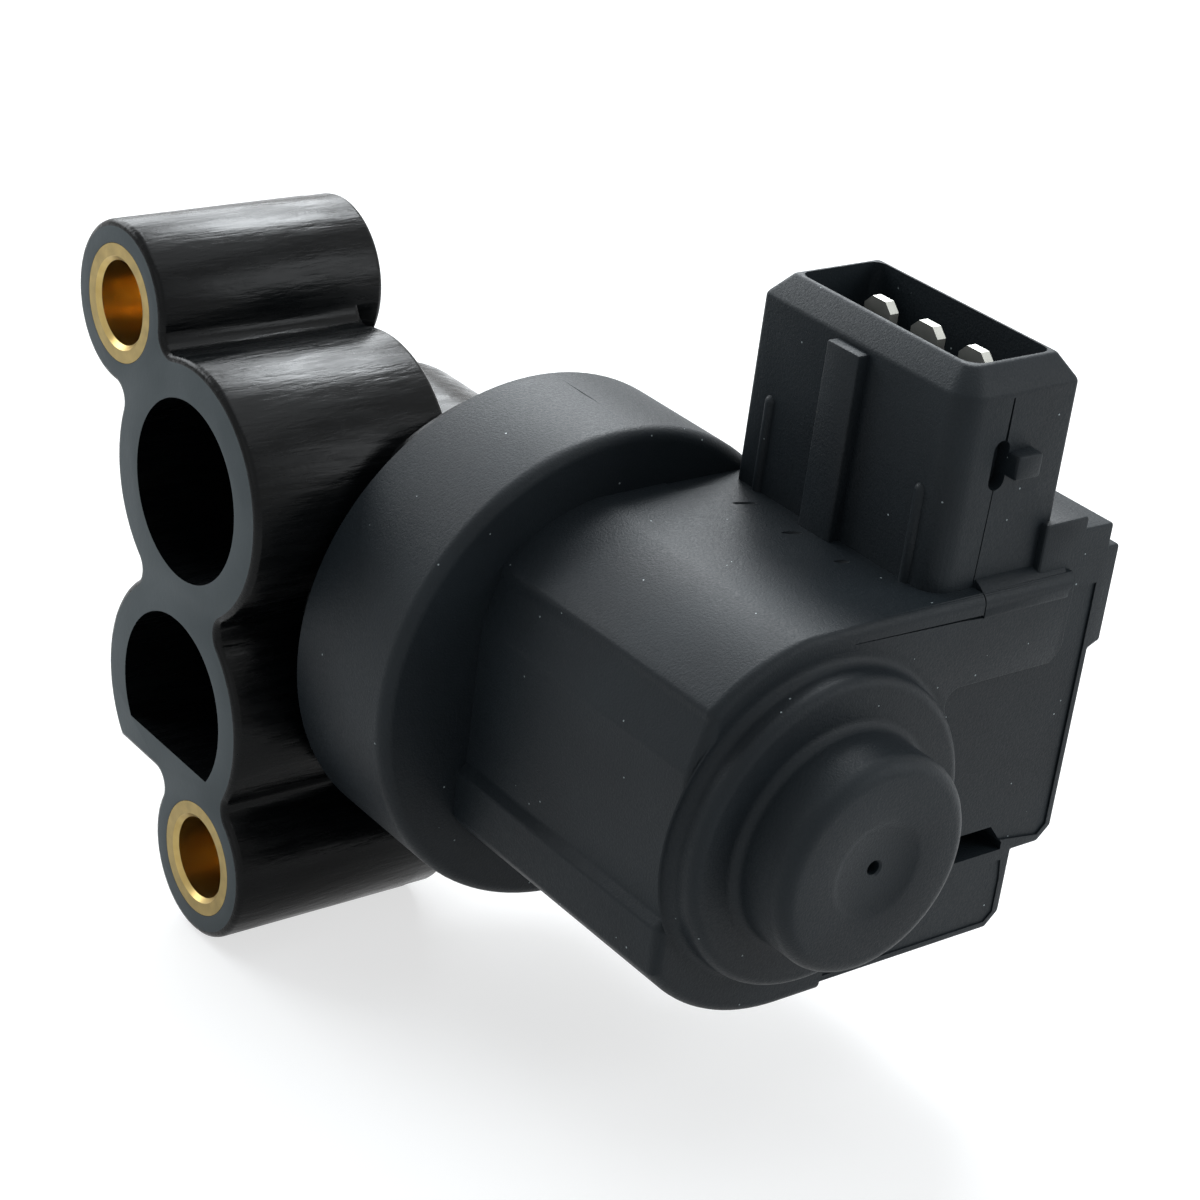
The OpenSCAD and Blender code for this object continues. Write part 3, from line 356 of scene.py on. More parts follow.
valve = drawn_shape("valve_body", [(0, y, z) for y, z in outline])
drawn_out(valve, (TUBE_DEPTH, 0, 0))
rounded(valve, EDGE_ROUND, 3, tube_end_edge)
rounded(valve, FACE_EDGE_ROUND, 2, lambda a, b: a.x < 0.1 and b.x < 0.1)
for centre in (UPPER_BOLT, LOWER_BOLT):
    end = rod_along_x("boss_end", centre, BOSS_R - 0.05, TUBE_DEPTH - 2, BOSS_DEPTH)
    rounded(end, EDGE_ROUND, 3)
    combined(valve, end)
barrel = turned("chamber_barrel", [
    (0, JOINT_Y), (JOINT_R, JOINT_Y), (JOINT_R, JOINT_Y + JOINT_T - 0.3), (JOINT_R - 0.3, JOINT_Y + JOINT_T),
    (CHAMBER_OUTER_R + 0.8, JOINT_Y + JOINT_T), (CHAMBER_OUTER_R, JOINT_Y + JOINT_T + 0.8),
    (CHAMBER_OUTER_R, BARREL_END_Y - 0.4), (CHAMBER_OUTER_R - 0.4, BARREL_END_Y), (END_BOSS_R, BARREL_END_Y),
    (END_BOSS_R, END_BOSS_Y - 0.3), (END_BOSS_R - 0.3, END_BOSS_Y), (0, END_BOSS_Y)])
combined(valve, barrel)
for centre in (UPPER_BOLT, LOWER_BOLT):
    seat = rod_along_x("bush_seat", centre, BUSH_R + MOULDED_IN_GAP, -1, BOSS_DEPTH + 1.3)
    combined(valve, seat, "DIFFERENCE")
upper_bore = rod_along_x("upper_bore", UPPER_PORT, PORT_R, -1, PORT_DEPTH)
flat_turn = math.asin((BORE_FLAT_Z - LOWER_PORT[1]) / PORT_R)
lower_arc = arc(LOWER_PORT, PORT_R, flat_turn, math.pi - flat_turn, True)
lower_bore = drawn_out(drawn_shape("lower_bore", [(-1, y, z) for y, z in lower_arc]), (PORT_DEPTH + 1, 0, 0))
combined(valve, upper_bore, "DIFFERENCE")
combined(valve, lower_bore, "DIFFERENCE")
for name, radius, start, end in (
        ("chamber_space", CHAMBER_R, JOINT_Y - 1, CHAMBER_END_Y),
        ("end_bush_seat", END_BUSH_R, CHAMBER_END_Y - 1, CHAMBER_END_Y + END_BUSH_DEPTH)):
    combined(valve, turned(name, [(0, start), (radius, start), (radius, end), (0, end)]), "DIFFERENCE")
smoothed(valve)

# Glass-filled nylon, moulded: near black, glossy on its sides with streaks of glass along the
# mould's draw, which break the lamps' light into bands. They are drawn about 0.7 mm wide, coarser
# than the real fibres, so that they show.
material, tree = new_material("Glass-filled nylon, moulded glossy")
place = add_node(tree, "ShaderNodeTexCoord")
along = add_node(tree, "ShaderNodeMapping", {"Vector": place.outputs["Object"]}, Scale=(0.16, 1, 1))
streaks = add_node(tree, "ShaderNodeTexNoise", {"Vector": along.outputs[0]},
                   Scale=1400, Detail=4, Roughness=0.6)
cloud = add_node(tree, "ShaderNodeTexNoise", {"Vector": place.outputs["Object"]}, Scale=120, Detail=3)
tint = add_node(tree, "ShaderNodeValToRGB", {"Fac": cloud.outputs["Fac"]})
tint.color_ramp.elements[0].color = linear("#030405")
tint.color_ramp.elements[0].position = 0.3
tint.color_ramp.elements[1].color = linear("#090b0c")
tint.color_ramp.elements[1].position = 0.75
sheen = add_node(tree, "ShaderNodeMapRange", {"Value": streaks.outputs["Fac"]},
                 From_Min=0.3, From_Max=0.7, To_Min=0.16, To_Max=0.36)
bump = add_node(tree, "ShaderNodeBump", {"Height": streaks.outputs["Fac"]}, Strength=0.6, Distance=0.0001)
shader = add_node(tree, "ShaderNodeBsdfPrincipled",
                  {"Base Color": tint.outputs["Color"], "Roughness": sheen.outputs["Result"],
                   "Normal": bump.outputs["Normal"]}, IOR=1.53, Specular_IOR_Level=0.11)
add_node(tree, "ShaderNodeOutputMaterial", {0: shader.outputs[0]})
valve.data.materials.clear()
valve.data.materials.append(material)

# The sealing face is the same nylon with a matt grain of about 0.4 mm from the mould's ground
# insert: a plain slate grey, paler than the sides.
material, tree = new_material("Glass-filled nylon, matt sealing face")
place = add_node(tree, "ShaderNodeTexCoord")
grain = add_node(tree, "ShaderNodeTexNoise", {"Vector": place.outputs["Object"]}, Scale=2600, Detail=3)
cloud = add_node(tree, "ShaderNodeTexNoise", {"Vector": place.outputs["Object"]}, Scale=160, Detail=4)
tint = add_node(tree, "ShaderNodeValToRGB", {"Fac": cloud.outputs["Fac"]})
tint.color_ramp.elements[0].color = linear("#363e41")
tint.color_ramp.elements[0].position = 0.3
tint.color_ramp.elements[1].color = linear("#42494c")
tint.color_ramp.elements[1].position = 0.75
bump = add_node(tree, "ShaderNodeBump", {"Height": grain.outputs["Fac"]}, Strength=0.15, Distance=0.0001)
shader = add_node(tree, "ShaderNodeBsdfPrincipled",
                  {"Base Color": tint.outputs["Color"], "Normal": bump.outputs["Normal"]},
                  Roughness=0.6, IOR=1.53, Specular_IOR_Level=0.2)
add_node(tree, "ShaderNodeOutputMaterial", {0: shader.outputs[0]})
valve.data.materials.append(material)
for face in valve.data.polygons:
    if face.center.x < 0.02 * MM and face.normal.x < -0.9:
        face.material_index = 1
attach(valve, "housing")
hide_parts("valve_housing")


# Motor housing: collar, body, stepped nose, side box and plug socket, moulded in one piece from
# glass-filled nylon with a fine matt grain, and snapped and bonded over the valve housing's joint.
COLLAR_R, COLLAR_END_Y, COLLAR_ROUND = 19.42, -25.36, 1.0
BODY_R, BODY_TOP, BODY_BOTTOM, BODY_END_Y = 14.8, 14.7, 15.5, -49.66
FACE_R, FACE_FILLET, PLATE_REACH, PLATE_BOTTOM = 13.2, 1.2, 22.8, 7.6
BOX_FRONT_Y, BOX_BACK_Y, BOX_REACH, BOX_LEFT = -48.86, -26.86, 26.7, 4.0
RING_R, RING_H, DOME_R, DOME_H = 12.1, 2.4, 8.4, 5.0


def corner_arc(centre, radius, start, end, steps=6):
    """Points along an arc, its bearings in degrees."""
    return [(centre[0] + radius * math.cos(math.radians(start + (end - start) * i / steps)),
             centre[1] + radius * math.sin(math.radians(start + (end - start) * i / steps)))
            for i in range(steps + 1)]


def prism(name, points, front_y, back_y):
    """A solid drawn out along the motor axis from an outline of x and z, x from that axis."""
    flat = drawn_shape(name, [(AXIS_X + x, front_y, z) for x, z in points])
    return drawn_out(flat, (0, back_y - front_y, 0))


motor = turned("motor_body", [(0, JOINT_Y), (COLLAR_R - 0.3, JOINT_Y), (COLLAR_R, JOINT_Y - 0.3)]
               + corner_arc((COLLAR_R - COLLAR_ROUND, COLLAR_END_Y + COLLAR_ROUND), COLLAR_ROUND, 0, -90, 8)
               + [(0, COLLAR_END_Y)])

# One outline takes in the body's section, cut flat on top, below and on the left, and the raised
# round end face with its plate, which run back only as far as the box does
facet_x, flat_x, band_x = -10.3, -11.5, -12.2
face_low_z = math.sqrt(FACE_R ** 2 - BOX_LEFT ** 2)
section = [(x, z) for x, z in arc((0, 0), BODY_R, math.acos(facet_x / BODY_R), math.pi / 2, False)
           if z < BODY_TOP]
fillet_z = PLATE_BOTTOM - FACE_FILLET
fillet = (math.sqrt((FACE_R + FACE_FILLET) ** 2 - fillet_z ** 2), fillet_z)
turn = math.degrees(math.atan2(fillet[1], fillet[0]))
section += [(BOX_LEFT, BODY_TOP), (PLATE_REACH, BODY_TOP)]
section += [(PLATE_REACH, PLATE_BOTTOM + 1), (PLATE_REACH - 1, PLATE_BOTTOM)]
section += corner_arc(fillet, FACE_FILLET, 90, 180 + turn, 8)
section += corner_arc((0, 0), FACE_R, turn, math.degrees(math.atan2(-face_low_z, BOX_LEFT)), 36)[1:]
section += [(BOX_LEFT, -BODY_BOTTOM)]
section += [(x, z) for x, z in arc((0, 0), BODY_BOTTOM, math.radians(-90), math.radians(-150), False)
            if x > band_x]
section += [(band_x, -9.5), (band_x, -5.9), (flat_x, -5.2), (flat_x, 6.2), (facet_x, 9.8)]
block = drawn_shape("body_block", [(AXIS_X + x, BODY_END_Y, z) for x, z in section])
edit_all(block)
bpy.ops.mesh.select_all(action="DESELECT")
bpy.ops.object.mode_set(mode="OBJECT")
for vertex in block.data.vertices:
    x, z = vertex.co.x / MM - AXIS_X, vertex.co.z / MM
    vertex.select = abs(x - BOX_LEFT) < 0.01 and (abs(z - BODY_TOP) < 0.01 or abs(z + face_low_z) < 0.01)
bpy.ops.object.mode_set(mode="EDIT")
bpy.ops.mesh.vert_connect()
bpy.ops.mesh.select_all(action="SELECT")
to_box_back, to_collar = (BOX_BACK_Y - 0.1 - BODY_END_Y) * MM, (COLLAR_END_Y + 1.1 - BOX_BACK_Y) * MM
bpy.ops.mesh.extrude_region_move(TRANSFORM_OT_translate={"value": (0, to_box_back, 0)})
bpy.ops.mesh.select_all(action="DESELECT")
bpy.ops.object.mode_set(mode="OBJECT")
for face in block.data.polygons:
    at_back = abs(face.normal.y) > 0.9 and face.center.y > (BOX_BACK_Y - 1) * MM
    face.select = at_back and face.center.x < (AXIS_X + BOX_LEFT) * MM
bpy.ops.object.mode_set(mode="EDIT")
bpy.ops.mesh.select_mode(type="FACE")
bpy.ops.mesh.extrude_region_move(TRANSFORM_OT_translate={"value": (0, to_collar, 0)})
bpy.ops.mesh.select_all(action="SELECT")
bpy.ops.mesh.normals_make_consistent(inside=False)
bpy.ops.object.mode_set(mode="OBJECT")


def body_edge_share(a, b):
    """The body's front edge is well rounded; the end face's edge and the flats' are crisper.
    The edges where the box joins on stay sharp."""
    low, right = min(a.z, b.z), max(a.x, b.x) - AXIS_X
    if max(a.y, b.y) < BODY_END_Y + 0.05:
        if right <= BOX_LEFT + 0.01:
            return 0 if min(a.x, b.x) - AXIS_X > BOX_LEFT - 0.01 else 1
        return 1 if low > BODY_TOP - 0.05 else 0.15
    if abs(a.y - b.y) > 5 and right < -2:
        return 0.33 if low > 8 else 0.2
    return 0


weighted_round(block, 1.2, 6, body_edge_share)
combined(motor, block)

# The side box with its step, its rib and the flap below; a shallow inset follows its front's edge
box = prism("box", [
    (3.9, -15.49), (21.6, -15.49), (22.8, -14.3), (22.8, -8.9), (25.5, -8.9), (BOX_REACH, -7.7),
    (BOX_REACH, 7.4), (27.8, 7.9), (27.8, 15.8), (BOX_REACH, 15.8), (BOX_REACH, 17.7), (23.9, 17.7),
    (23.9, 18.7), (19.6, 18.7), (19.6, 14), (3.9, 14)], BOX_FRONT_Y, BOX_BACK_Y)
rounded(box, 0.25, 3, lambda a, b: max(a.x, b.x) > AXIS_X + 5 and abs((a.z + b.z) / 2 - 14) > 0.05)
for name, depth, points in (
        ("panel_inset", 0.16, [(5, -7.0), (21.1, -7.6), (25.3, -8.2), (26.05, -7.4), (26.05, 13), (5, 13)]),
        ("flap_inset", 0.12, [(5, -9.5), (21.8, -9.5), (22.05, -11.2), (22.05, -14.2), (21.3, -14.9),
                              (5, -14.9)]),
        ("recess", 4, [(10, -8.5), (21.5, -8.5), (21.5, -7.9), (20.2, -6.3), (10, -6.3)])):
    combined(box, prism(name, points, -50, BOX_FRONT_Y + depth), "DIFFERENCE")
combined(motor, box)

# Behind the box the body's round runs on to the collar and closes the slot between the two
ROOT_R = 14.6
root = [(3, -13.5)] + corner_arc((0, 0), ROOT_R, -67.6, 32, 30) + [(12.3, ROOT_R), (3, ROOT_R)]
combined(motor, prism("body_root", root, BOX_BACK_Y - 1, COLLAR_END_Y + 0.2))

# The lip along the plate's top in front of the plug, proud by a hair, the seam round its left
# end, and the fine line that carries its lower edge on across the body
lip = drawn_shape("lip", [(AXIS_X + 13.9, y, z) for y, z in [(-47.1, 12.9), (-49.71, 12.9)]
                          + corner_arc((-47.51, 13.2), 2.2, 180, 90, 10) + [(-47.1, 15.4)]])
drawn_out(lip, (8.4, 0, 0))
combined(motor, rounded(lip, 0.12, 2))
seam = drawn_shape("lip_seam", [(AXIS_X + 13.84, y, z) for y, z in (
    (-50, 12.9), (-49.4, 12.9), (-49.1, 14.1), (-48.1, 14.9), (-47.3, 15), (-47.3, 16), (-50, 16))])
combined(motor, drawn_out(seam, (0.1, 0, 0)), "DIFFERENCE")
crack = [(1.7, 13.47), (13.8, 13.2), (13.9, 12.95), (12, 13.1), (1.7, 13.42)]
combined(motor, prism("crack", crack, -51, BODY_END_Y + 0.3), "DIFFERENCE")

# The stepped nose: a ring and a dome with hollow feet, a shallow dish and a small vent
nose = [(0, BODY_END_Y + 2), (RING_R - 2, BODY_END_Y + 2), (RING_R + 1, BODY_END_Y + 0.06)]
nose += corner_arc((RING_R + 0.8, BODY_END_Y - 0.8), 0.8, 84, 180)
nose += corner_arc((RING_R - 0.9, BODY_END_Y - RING_H + 0.9), 0.9, 0, -90)
nose += corner_arc((DOME_R + 0.8, BODY_END_Y - RING_H - 0.8), 0.8, 90, 180)
nose += corner_arc((DOME_R - 1.3, BODY_END_Y - RING_H - DOME_H + 1.3), 1.3, 0, -90, 8)
tip_y = BODY_END_Y - RING_H - DOME_H
nose += [(4.1, tip_y), (3.7, tip_y + 0.08), (3.2, tip_y + 0.31), (0.7, tip_y + 0.34), (0.55, tip_y + 0.46),
         (0.55, tip_y + 1.36), (0, tip_y + 1.36)]
combined(motor, turned("nose", nose))

# The plug socket: three crisp corners and one soft one, a sloping rim, a key rib and two low ribs
SOCKET_X, SOCKET_W, SOCKET_FRONT_Y, SOCKET_LEN, SOCKET_TOP, RIM_H = 33.0, 11.0, -48.16, 21.6, 29.5, 1.8


def socket_corners(margin, corner, edge):
    """The socket's outline drawn in by a margin, with one soft corner and three crisp ones."""
    x0, x1 = SOCKET_X + margin, SOCKET_X + SOCKET_W - margin
    y0, y1 = SOCKET_FRONT_Y + margin, SOCKET_FRONT_Y + SOCKET_LEN - margin
    return (corner_arc((x0 + corner, y0 + corner), corner, 180, 270, 8)
            + corner_arc((x1 - edge, y0 + edge), edge, -90, 0, 4)
            + corner_arc((x1 - edge, y1 - edge), edge, 0, 90, 4)
            + corner_arc((x0 + edge, y1 - edge), edge, 90, 180, 4))


def upright(name, x0, x1, y0, y1, z0, z1, edge):
    """A small block standing on the socket's wall, with its edges rounded."""
    block = drawn_shape(name, [(x0, y0, z0), (x1, y0, z0), (x1, y1, z0), (x0, y1, z0)])
    return rounded(drawn_out(block, (0, 0, z1 - z0)), edge, 2)


outer, inner = socket_corners(0, 2, 0.5), socket_corners(1.35, 1.1, 0.4)
socket = drawn_shape("socket", [(x, y, 12) for x, y in outer])
drawn_out(socket, (0, 0, SOCKET_TOP - 12))
edit_all(socket)
bpy.ops.mesh.select_all(action="DESELECT")
bpy.ops.object.mode_set(mode="OBJECT")
for face in socket.data.polygons:
    face.select = face.center.z > (SOCKET_TOP - 0.1) * MM
bpy.ops.object.mode_set(mode="EDIT")
bpy.ops.mesh.select_mode(type="FACE")
bpy.ops.mesh.extrude_region_move(TRANSFORM_OT_translate={"value": (0, 0, RIM_H * MM)})
bpy.ops.object.mode_set(mode="OBJECT")
for vertex in socket.data.vertices:
    if vertex.co.z > (SOCKET_TOP + 0.1) * MM:
        here = (vertex.co.x / MM, vertex.co.y / MM)
        nearest = min(range(len(outer)), key=lambda i: math.dist(outer[i], here))
        vertex.co.x, vertex.co.y = inner[nearest][0] * MM, inner[nearest][1] * MM
rounded(socket, 0.2, 3)
opening = drawn_shape("opening", [(x, y, 18.8) for x, y in socket_corners(1.65, 1.4, 0.9)])
combined(socket, drawn_out(opening, (0, 0, 14)), "DIFFERENCE")
combined(socket, upright("key_rib", 32, 34, -38.26, -34.86, 12, 29.1, 0.15))

# Each low rib is a small ball with its lower half drawn down the wall
for y in (-29.0, -45.3):
    bpy.ops.object.select_all(action="DESELECT")
    bpy.ops.mesh.primitive_uv_sphere_add(
        segments=24, ring_count=12, radius=0.5 * MM, location=((SOCKET_X + 0.15) * MM, y * MM, 21.8 * MM))
    rib = bpy.context.object
    edit_all(rib)
    bpy.ops.mesh.select_all(action="DESELECT")
    bpy.ops.object.mode_set(mode="OBJECT")
    for vertex in rib.data.vertices:
        vertex.select = vertex.co.z < -0.01 * MM
    bpy.ops.object.transform_apply()
    for vertex in rib.data.vertices:
        if vertex.select:
            vertex.co.z -= 8 * MM
    combined(socket, rib)

# A nub at each end takes the plug's latch
for name, y0, y1 in (("front_latch_nub", -49.26, -47.5), ("rear_latch_nub", -27.2, -25.46)):
    combined(socket, upright(name, 38.1, 40.5, y0, y1, 23.1, 25, 0.25))

# Beside the nub: a round-ended pocket, a slit above it and a parting line below it
pocket = corner_arc((37.35, 25.2), 0.75, 0, 180, 10) + corner_arc((37.35, 22.9), 0.75, 180, 360, 10)
pocket = drawn_shape("pocket", [(x, -49, z) for x, z in pocket])
combined(socket, drawn_out(pocket, (0, 1.94, 0)), "DIFFERENCE")
for name, points in (("slit", [(37.5, 25.5), (37.75, 25.5), (37.75, 29.1), (37.6, 29.1)]),
                     ("parting_line", [(36.95, 15), (37.05, 15), (37.3, 22.6), (37.2, 22.6)])):
    line = drawn_out(drawn_shape(name, [(x, -49, z) for x, z in points]), (0, 1.1, 0))
    combined(socket, line, "DIFFERENCE")
combined(motor, socket)

# Three scoops that the mould's gates left beside the plug, and a knit line on the collar's top
for x, y, half_length in ((30.6, -30.5, 0.95), (30.6, -35.9, 0.8), (30.9, -41.1, 0.6)):
    bpy.ops.object.select_all(action="DESELECT")
    bpy.ops.mesh.primitive_uv_sphere_add(
        segments=24, ring_count=12, radius=MM, location=(x * MM, y * MM, (BODY_TOP + 0.05) * MM),
        rotation=(0, 0, math.radians(-23)), scale=(half_length, 0.24, 0.28))
    bpy.ops.object.transform_apply()
    combined(motor, bpy.context.object, "DIFFERENCE")
knit_points = ((24.46, -15.3), (24.42, -18), (24.38, -20.5), (24.31, -18))
knit = drawn_shape("knit_line", [(x, y, COLLAR_R - 0.2) for x, y in knit_points])
combined(motor, drawn_out(knit, (0, 0, 1)), "DIFFERENCE")

# The space inside: wide for the end plate, narrower for the coils and the rotor, and at the nose
# the bush's seat and a little room for the shaft's end
PLATE_SEAT_R, PLATE_SEAT_Y, COIL_SPACE_R, COIL_SPACE_Y = 17.07, -17.66, 10.23, -46.46
SHAFT_SPACE_R, SHAFT_SPACE_Y, NOSE_BUSH_DEPTH = 2.6, -51.4, 4
core = turned("motor_space", [
    (0, -12), (PLATE_SEAT_R, -12), (PLATE_SEAT_R, PLATE_SEAT_Y), (COIL_SPACE_R, PLATE_SEAT_Y),
    (COIL_SPACE_R, COIL_SPACE_Y), (END_BUSH_R, COIL_SPACE_Y), (END_BUSH_R, COIL_SPACE_Y - NOSE_BUSH_DEPTH),
    (SHAFT_SPACE_R, COIL_SPACE_Y - NOSE_BUSH_DEPTH), (SHAFT_SPACE_R, SHAFT_SPACE_Y), (0, SHAFT_SPACE_Y)])
combined(motor, core, "DIFFERENCE")
smoothed(motor, 25)

# Glass-filled nylon, matt: dark slate, with a grain of about 0.2 mm from the spark-eroded mould,
# a soft sheen, and a few specks of dust about 0.15 mm wide.
material, tree = new_material("Glass-filled nylon, moulded fine matt")
place = add_node(tree, "ShaderNodeTexCoord")
grain = add_node(tree, "ShaderNodeTexNoise", {"Vector": place.outputs["Object"]},
                 Scale=5200, Detail=3, Roughness=0.65)
cloud = add_node(tree, "ShaderNodeTexNoise", {"Vector": place.outputs["Object"]}, Scale=90, Detail=5)
tint = add_node(tree, "ShaderNodeValToRGB", {"Fac": cloud.outputs["Fac"]})
tint.color_ramp.elements[0].color = linear("#11161a")
tint.color_ramp.elements[0].position = 0.3
tint.color_ramp.elements[1].color = linear("#1a2024")
tint.color_ramp.elements[1].position = 0.75
dust = add_node(tree, "ShaderNodeTexVoronoi", {"Vector": place.outputs["Object"]}, Scale=500)
speck = add_node(tree, "ShaderNodeMath", {0: dust.outputs["Distance"]}, operation="LESS_THAN")
speck.inputs[1].default_value = 0.036
dusted = add_node(tree, "ShaderNodeMix", {0: speck.outputs[0], 6: tint.outputs["Color"]}, data_type="RGBA")
dusted.inputs[7].default_value = linear("#8f989a")
sheen = add_node(tree, "ShaderNodeMapRange", {"Value": grain.outputs["Fac"]},
                 From_Min=0.3, From_Max=0.7, To_Min=0.42, To_Max=0.58)
bump = add_node(tree, "ShaderNodeBump", {"Height": grain.outputs["Fac"]}, Strength=0.35, Distance=0.0001)
shader = add_node(tree, "ShaderNodeBsdfPrincipled",
                  {"Base Color": dusted.outputs[2], "Roughness": sheen.outputs["Result"],
                   "Normal": bump.outputs["Normal"]}, IOR=1.53, Specular_IOR_Level=0.15)
add_node(tree, "ShaderNodeOutputMaterial", {0: shader.outputs[0]})
motor.data.materials.clear()
motor.data.materials.append(material)
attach(motor, "housing")
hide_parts("motor_housing")


# End plate: moulded in the same matt nylon and held in the collar between the two housings. It
# closes the slide's chamber, carries the ball bearing and holds the stop pins.
def dressed(names, material):
    """Gives CAD pieces a material in place of their plain one."""
    for name in names:
        nodes[name].data.materials.clear()
        nodes[name].data.materials.append(material)


dressed(["end_plate"], material)

# Bolt bushes: turned brass tubes moulded into the bosses, so that the bolts clamp metal. The
# faces are dull from the parting tool, and their darker olive is painted shade; the bores are
# smoother and a deeper orange.
# The shaft's two plain bushes, of sintered bronze, look much the same and share the material.
material, tree = new_material("Brass, turned")
place = add_node(tree, "ShaderNodeTexCoord")
rings = add_node(tree, "ShaderNodeTexNoise", {"Vector": place.outputs["Object"]}, Scale=900, Detail=2)
# The end faces' darker olive, below the bores' brass, is painted shade.
face_painted_shade_tint = add_node(tree, "ShaderNodeValToRGB", {"Fac": rings.outputs["Fac"]})
face_painted_shade_tint.color_ramp.elements[0].color = linear("#6f5f36")
face_painted_shade_tint.color_ramp.elements[1].color = linear("#988450")
bore_tint = add_node(tree, "ShaderNodeValToRGB", {"Fac": rings.outputs["Fac"]})
bore_tint.color_ramp.elements[0].color = linear("#cfae68")
bore_tint.color_ramp.elements[1].color = linear("#e6cf94")
facing = add_node(tree, "ShaderNodeSeparateXYZ", {"Vector": place.outputs["Normal"]})
endwise = add_node(tree, "ShaderNodeMath", {0: facing.outputs["X"]}, operation="ABSOLUTE")
tint = add_node(tree, "ShaderNodeMix", {0: endwise.outputs[0], 6: bore_tint.outputs["Color"],
                                        7: face_painted_shade_tint.outputs["Color"]}, data_type="RGBA")
wear = add_node(tree, "ShaderNodeMapRange", {"Value": endwise.outputs[0]}, To_Min=0.22, To_Max=0.42)
shader = add_node(tree, "ShaderNodeBsdfPrincipled",
                  {"Base Color": tint.outputs[2], "Roughness": wear.outputs["Result"]}, Metallic=1)
add_node(tree, "ShaderNodeOutputMaterial", {0: shader.outputs[0]})
dressed(["upper_bolt_bush", "lower_bolt_bush", "nose_bush", "chamber_bush"], material)

# Plug blades: three tabs stamped from brass strip and coated with tin, moulded into the
# socket's floor. The tin is a soft silver grey, slightly cloudy.
material, tree = new_material("Tin on stamped brass")
place = add_node(tree, "ShaderNodeTexCoord")
cloud = add_node(tree, "ShaderNodeTexNoise", {"Vector": place.outputs["Object"]}, Scale=700, Detail=3)
tint = add_node(tree, "ShaderNodeValToRGB", {"Fac": cloud.outputs["Fac"]})
tint.color_ramp.elements[0].color = linear("#8e8f8a")
tint.color_ramp.elements[1].color = linear("#b4b4ae")
shader = add_node(tree, "ShaderNodeBsdfPrincipled", {"Base Color": tint.outputs["Color"]},
                  Metallic=1, Roughness=0.45)
add_node(tree, "ShaderNodeOutputMaterial", {0: shader.outputs[0]})
dressed(["blade_collar_side", "blade_middle", "blade_nose_side"], material)

# Steel pieces inside: the ground shaft with its spring clip, the ball bearing that carries it
# in the end plate, and the pins that stop the slide. Bright, with faint grinding clouds.
material, tree = new_material("Bearing steel, ground")
place = add_node(tree, "ShaderNodeTexCoord")
cloud = add_node(tree, "ShaderNodeTexNoise", {"Vector": place.outputs["Object"]}, Scale=1500, Detail=2)
wear = add_node(tree, "ShaderNodeMapRange", {"Value": cloud.outputs["Fac"]}, To_Min=0.2, To_Max=0.4)
shader = add_node(tree, "ShaderNodeBsdfPrincipled", {"Roughness": wear.outputs["Result"]},
                  Base_Color=linear("#b4b7ba"), Metallic=1)
add_node(tree, "ShaderNodeOutputMaterial", {0: shader.outputs[0]})
dressed(["shaft", "bearing_outer_race", "bearing_inner_race", "bearing_balls", "stop_pins", "shaft_clip"],
        material)

# The stator: a soft iron tube round three pole plates, stamped and zinc-plated, and pressed
# into the motor housing. A dull, cloudy grey.
material, tree = new_material("Soft iron, stamped and zinc-plated")
place = add_node(tree, "ShaderNodeTexCoord")
cloud = add_node(tree, "ShaderNodeTexNoise", {"Vector": place.outputs["Object"]}, Scale=500, Detail=3)
wear = add_node(tree, "ShaderNodeMapRange", {"Value": cloud.outputs["Fac"]}, To_Min=0.35, To_Max=0.55)
shader = add_node(tree, "ShaderNodeBsdfPrincipled", {"Roughness": wear.outputs["Result"]},
                  Base_Color=linear("#8f9396"), Metallic=1)
add_node(tree, "ShaderNodeOutputMaterial", {0: shader.outputs[0]})
dressed(["flux_tube", "collar_pole_plate", "middle_pole_plate", "nose_pole_plate"], material)

# The two coil formers and the rotor's hub, moulded in uncoloured nylon: a waxy cream. The
# formers sit between the pole plates, and the hub is moulded on the shaft.
material, tree = new_material("Nylon, moulded natural")
place = add_node(tree, "ShaderNodeTexCoord")
cloud = add_node(tree, "ShaderNodeTexNoise", {"Vector": place.outputs["Object"]}, Scale=300, Detail=3)
tint = add_node(tree, "ShaderNodeValToRGB", {"Fac": cloud.outputs["Fac"]})
tint.color_ramp.elements[0].color = linear("#c8c0a6")
tint.color_ramp.elements[1].color = linear("#ddd6c0")
shader = add_node(tree, "ShaderNodeBsdfPrincipled", {"Base Color": tint.outputs["Color"]},
                  Roughness=0.5, IOR=1.53)
add_node(tree, "ShaderNodeOutputMaterial", {0: shader.outputs[0]})
dressed(["collar_coil_former", "nose_coil_former", "rotor_hub"], material)

# The two windings of enamelled copper wire on the formers, each modelled as its outer shape.
# The wire's turns show as bands of painted shade in the grooves and painted highlight on the
# crowns, drawn coarser than the real wire so that they show.
material, tree = new_material("Enamelled copper wire")
place = add_node(tree, "ShaderNodeTexCoord")
turns = add_node(tree, "ShaderNodeTexWave", {"Vector": place.outputs["Object"]},
                 bands_direction="Y", Scale=900, Distortion=0.3)
# Dark bands are painted shade between the turns; bright bands are painted highlight on them.
tint = add_node(tree, "ShaderNodeValToRGB", {"Fac": turns.outputs["Fac"]})
tint.color_ramp.elements[0].color = linear("#5e2a12")
tint.color_ramp.elements[1].color = linear("#b0622e")
shader = add_node(tree, "ShaderNodeBsdfPrincipled", {"Base Color": tint.outputs["Color"]},
                  Metallic=0.7, Roughness=0.3)
add_node(tree, "ShaderNodeOutputMaterial", {0: shader.outputs[0]})
dressed(["collar_winding", "nose_winding"], material)

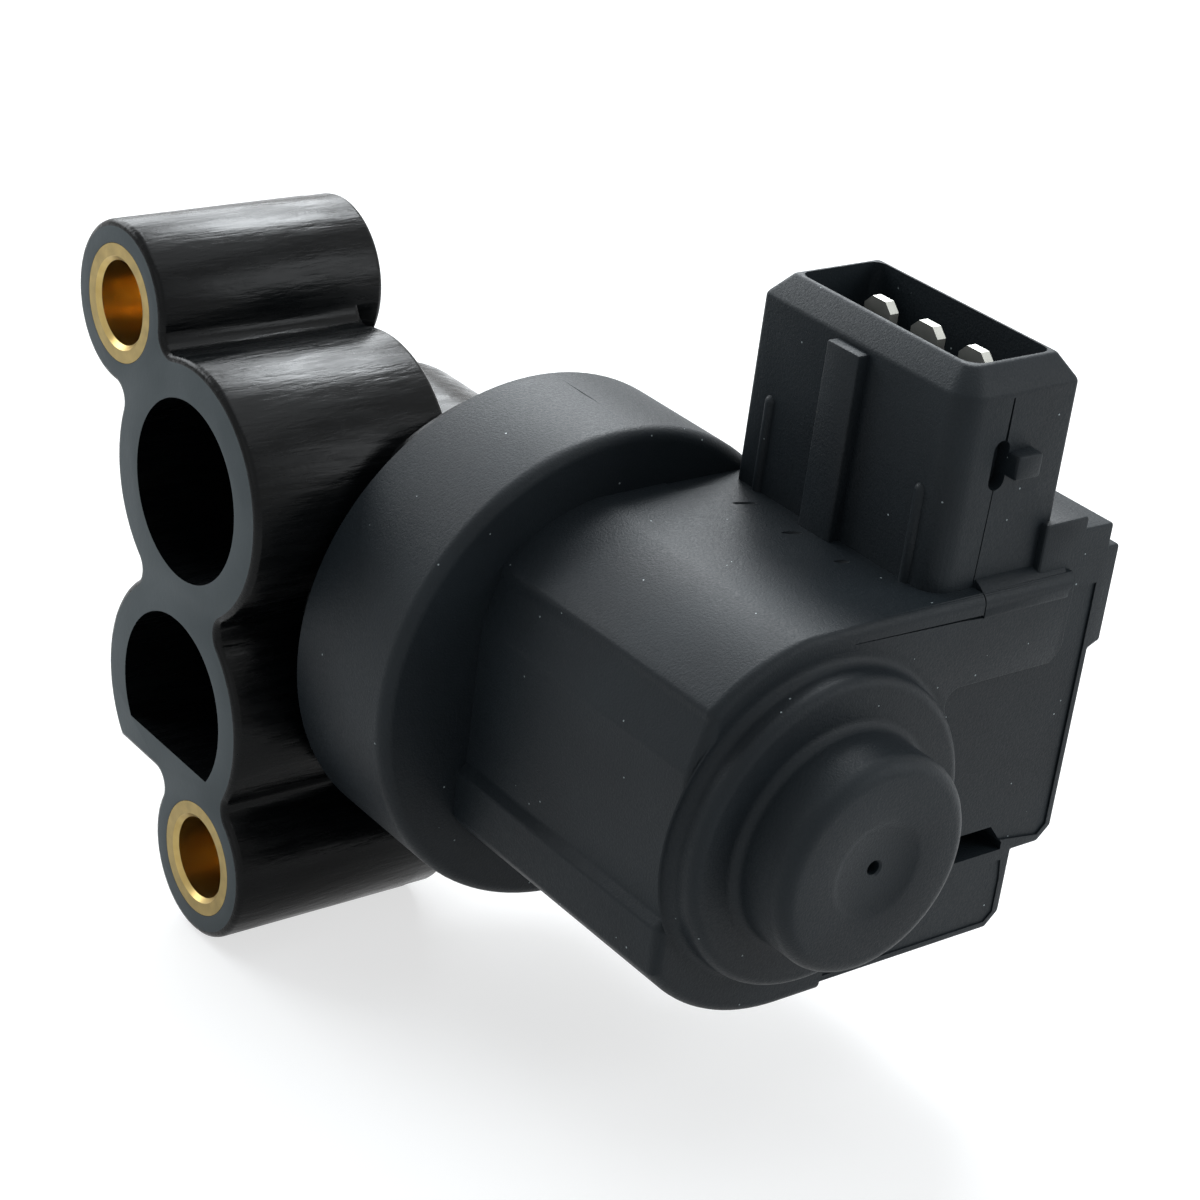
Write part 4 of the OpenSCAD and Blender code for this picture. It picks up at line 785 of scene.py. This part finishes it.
# The ring magnet on the rotor's hub, of sintered ferrite ground to size: a dark, flat grey.
# It turns with the shaft inside the pole plates' fingers.
material, tree = new_material("Ferrite, sintered and ground")
place = add_node(tree, "ShaderNodeTexCoord")
cloud = add_node(tree, "ShaderNodeTexNoise", {"Vector": place.outputs["Object"]}, Scale=800, Detail=3)
tint = add_node(tree, "ShaderNodeValToRGB", {"Fac": cloud.outputs["Fac"]})
tint.color_ramp.elements[0].color = linear("#343336")
tint.color_ramp.elements[1].color = linear("#4b4a4d")
shader = add_node(tree, "ShaderNodeBsdfPrincipled", {"Base Color": tint.outputs["Color"]}, Roughness=0.55)
add_node(tree, "ShaderNodeOutputMaterial", {0: shader.outputs[0]})
dressed(["ring_magnet"], material)

# The sealing ring, moulded in nitrile rubber and squeezed between the end plate's spigot and
# the chamber. Black, with a faint uneven bloom.
material, tree = new_material("Nitrile rubber, moulded")
place = add_node(tree, "ShaderNodeTexCoord")
cloud = add_node(tree, "ShaderNodeTexNoise", {"Vector": place.outputs["Object"]}, Scale=900, Detail=2)
wear = add_node(tree, "ShaderNodeMapRange", {"Value": cloud.outputs["Fac"]}, To_Min=0.5, To_Max=0.7)
shader = add_node(tree, "ShaderNodeBsdfPrincipled", {"Roughness": wear.outputs["Result"]},
                  Base_Color=linear("#17181a"))
add_node(tree, "ShaderNodeOutputMaterial", {0: shader.outputs[0]})
dressed(["sealing_ring"], material)

# The rotary slide, die-cast in aluminium alloy and fixed on the shaft, where its shoe opens and
# shuts the way between the ports. Its grey is dulled and clouded by oily air.
material, tree = new_material("Aluminium alloy, die-cast")
place = add_node(tree, "ShaderNodeTexCoord")
cloud = add_node(tree, "ShaderNodeTexNoise", {"Vector": place.outputs["Object"]}, Scale=400, Detail=4)
tint = add_node(tree, "ShaderNodeValToRGB", {"Fac": cloud.outputs["Fac"]})
tint.color_ramp.elements[0].color = linear("#6d7174")
tint.color_ramp.elements[1].color = linear("#9a9ea1")
shader = add_node(tree, "ShaderNodeBsdfPrincipled", {"Base Color": tint.outputs["Color"]},
                  Metallic=1, Roughness=0.45)
add_node(tree, "ShaderNodeOutputMaterial", {0: shader.outputs[0]})
dressed(["rotary_slide"], material)
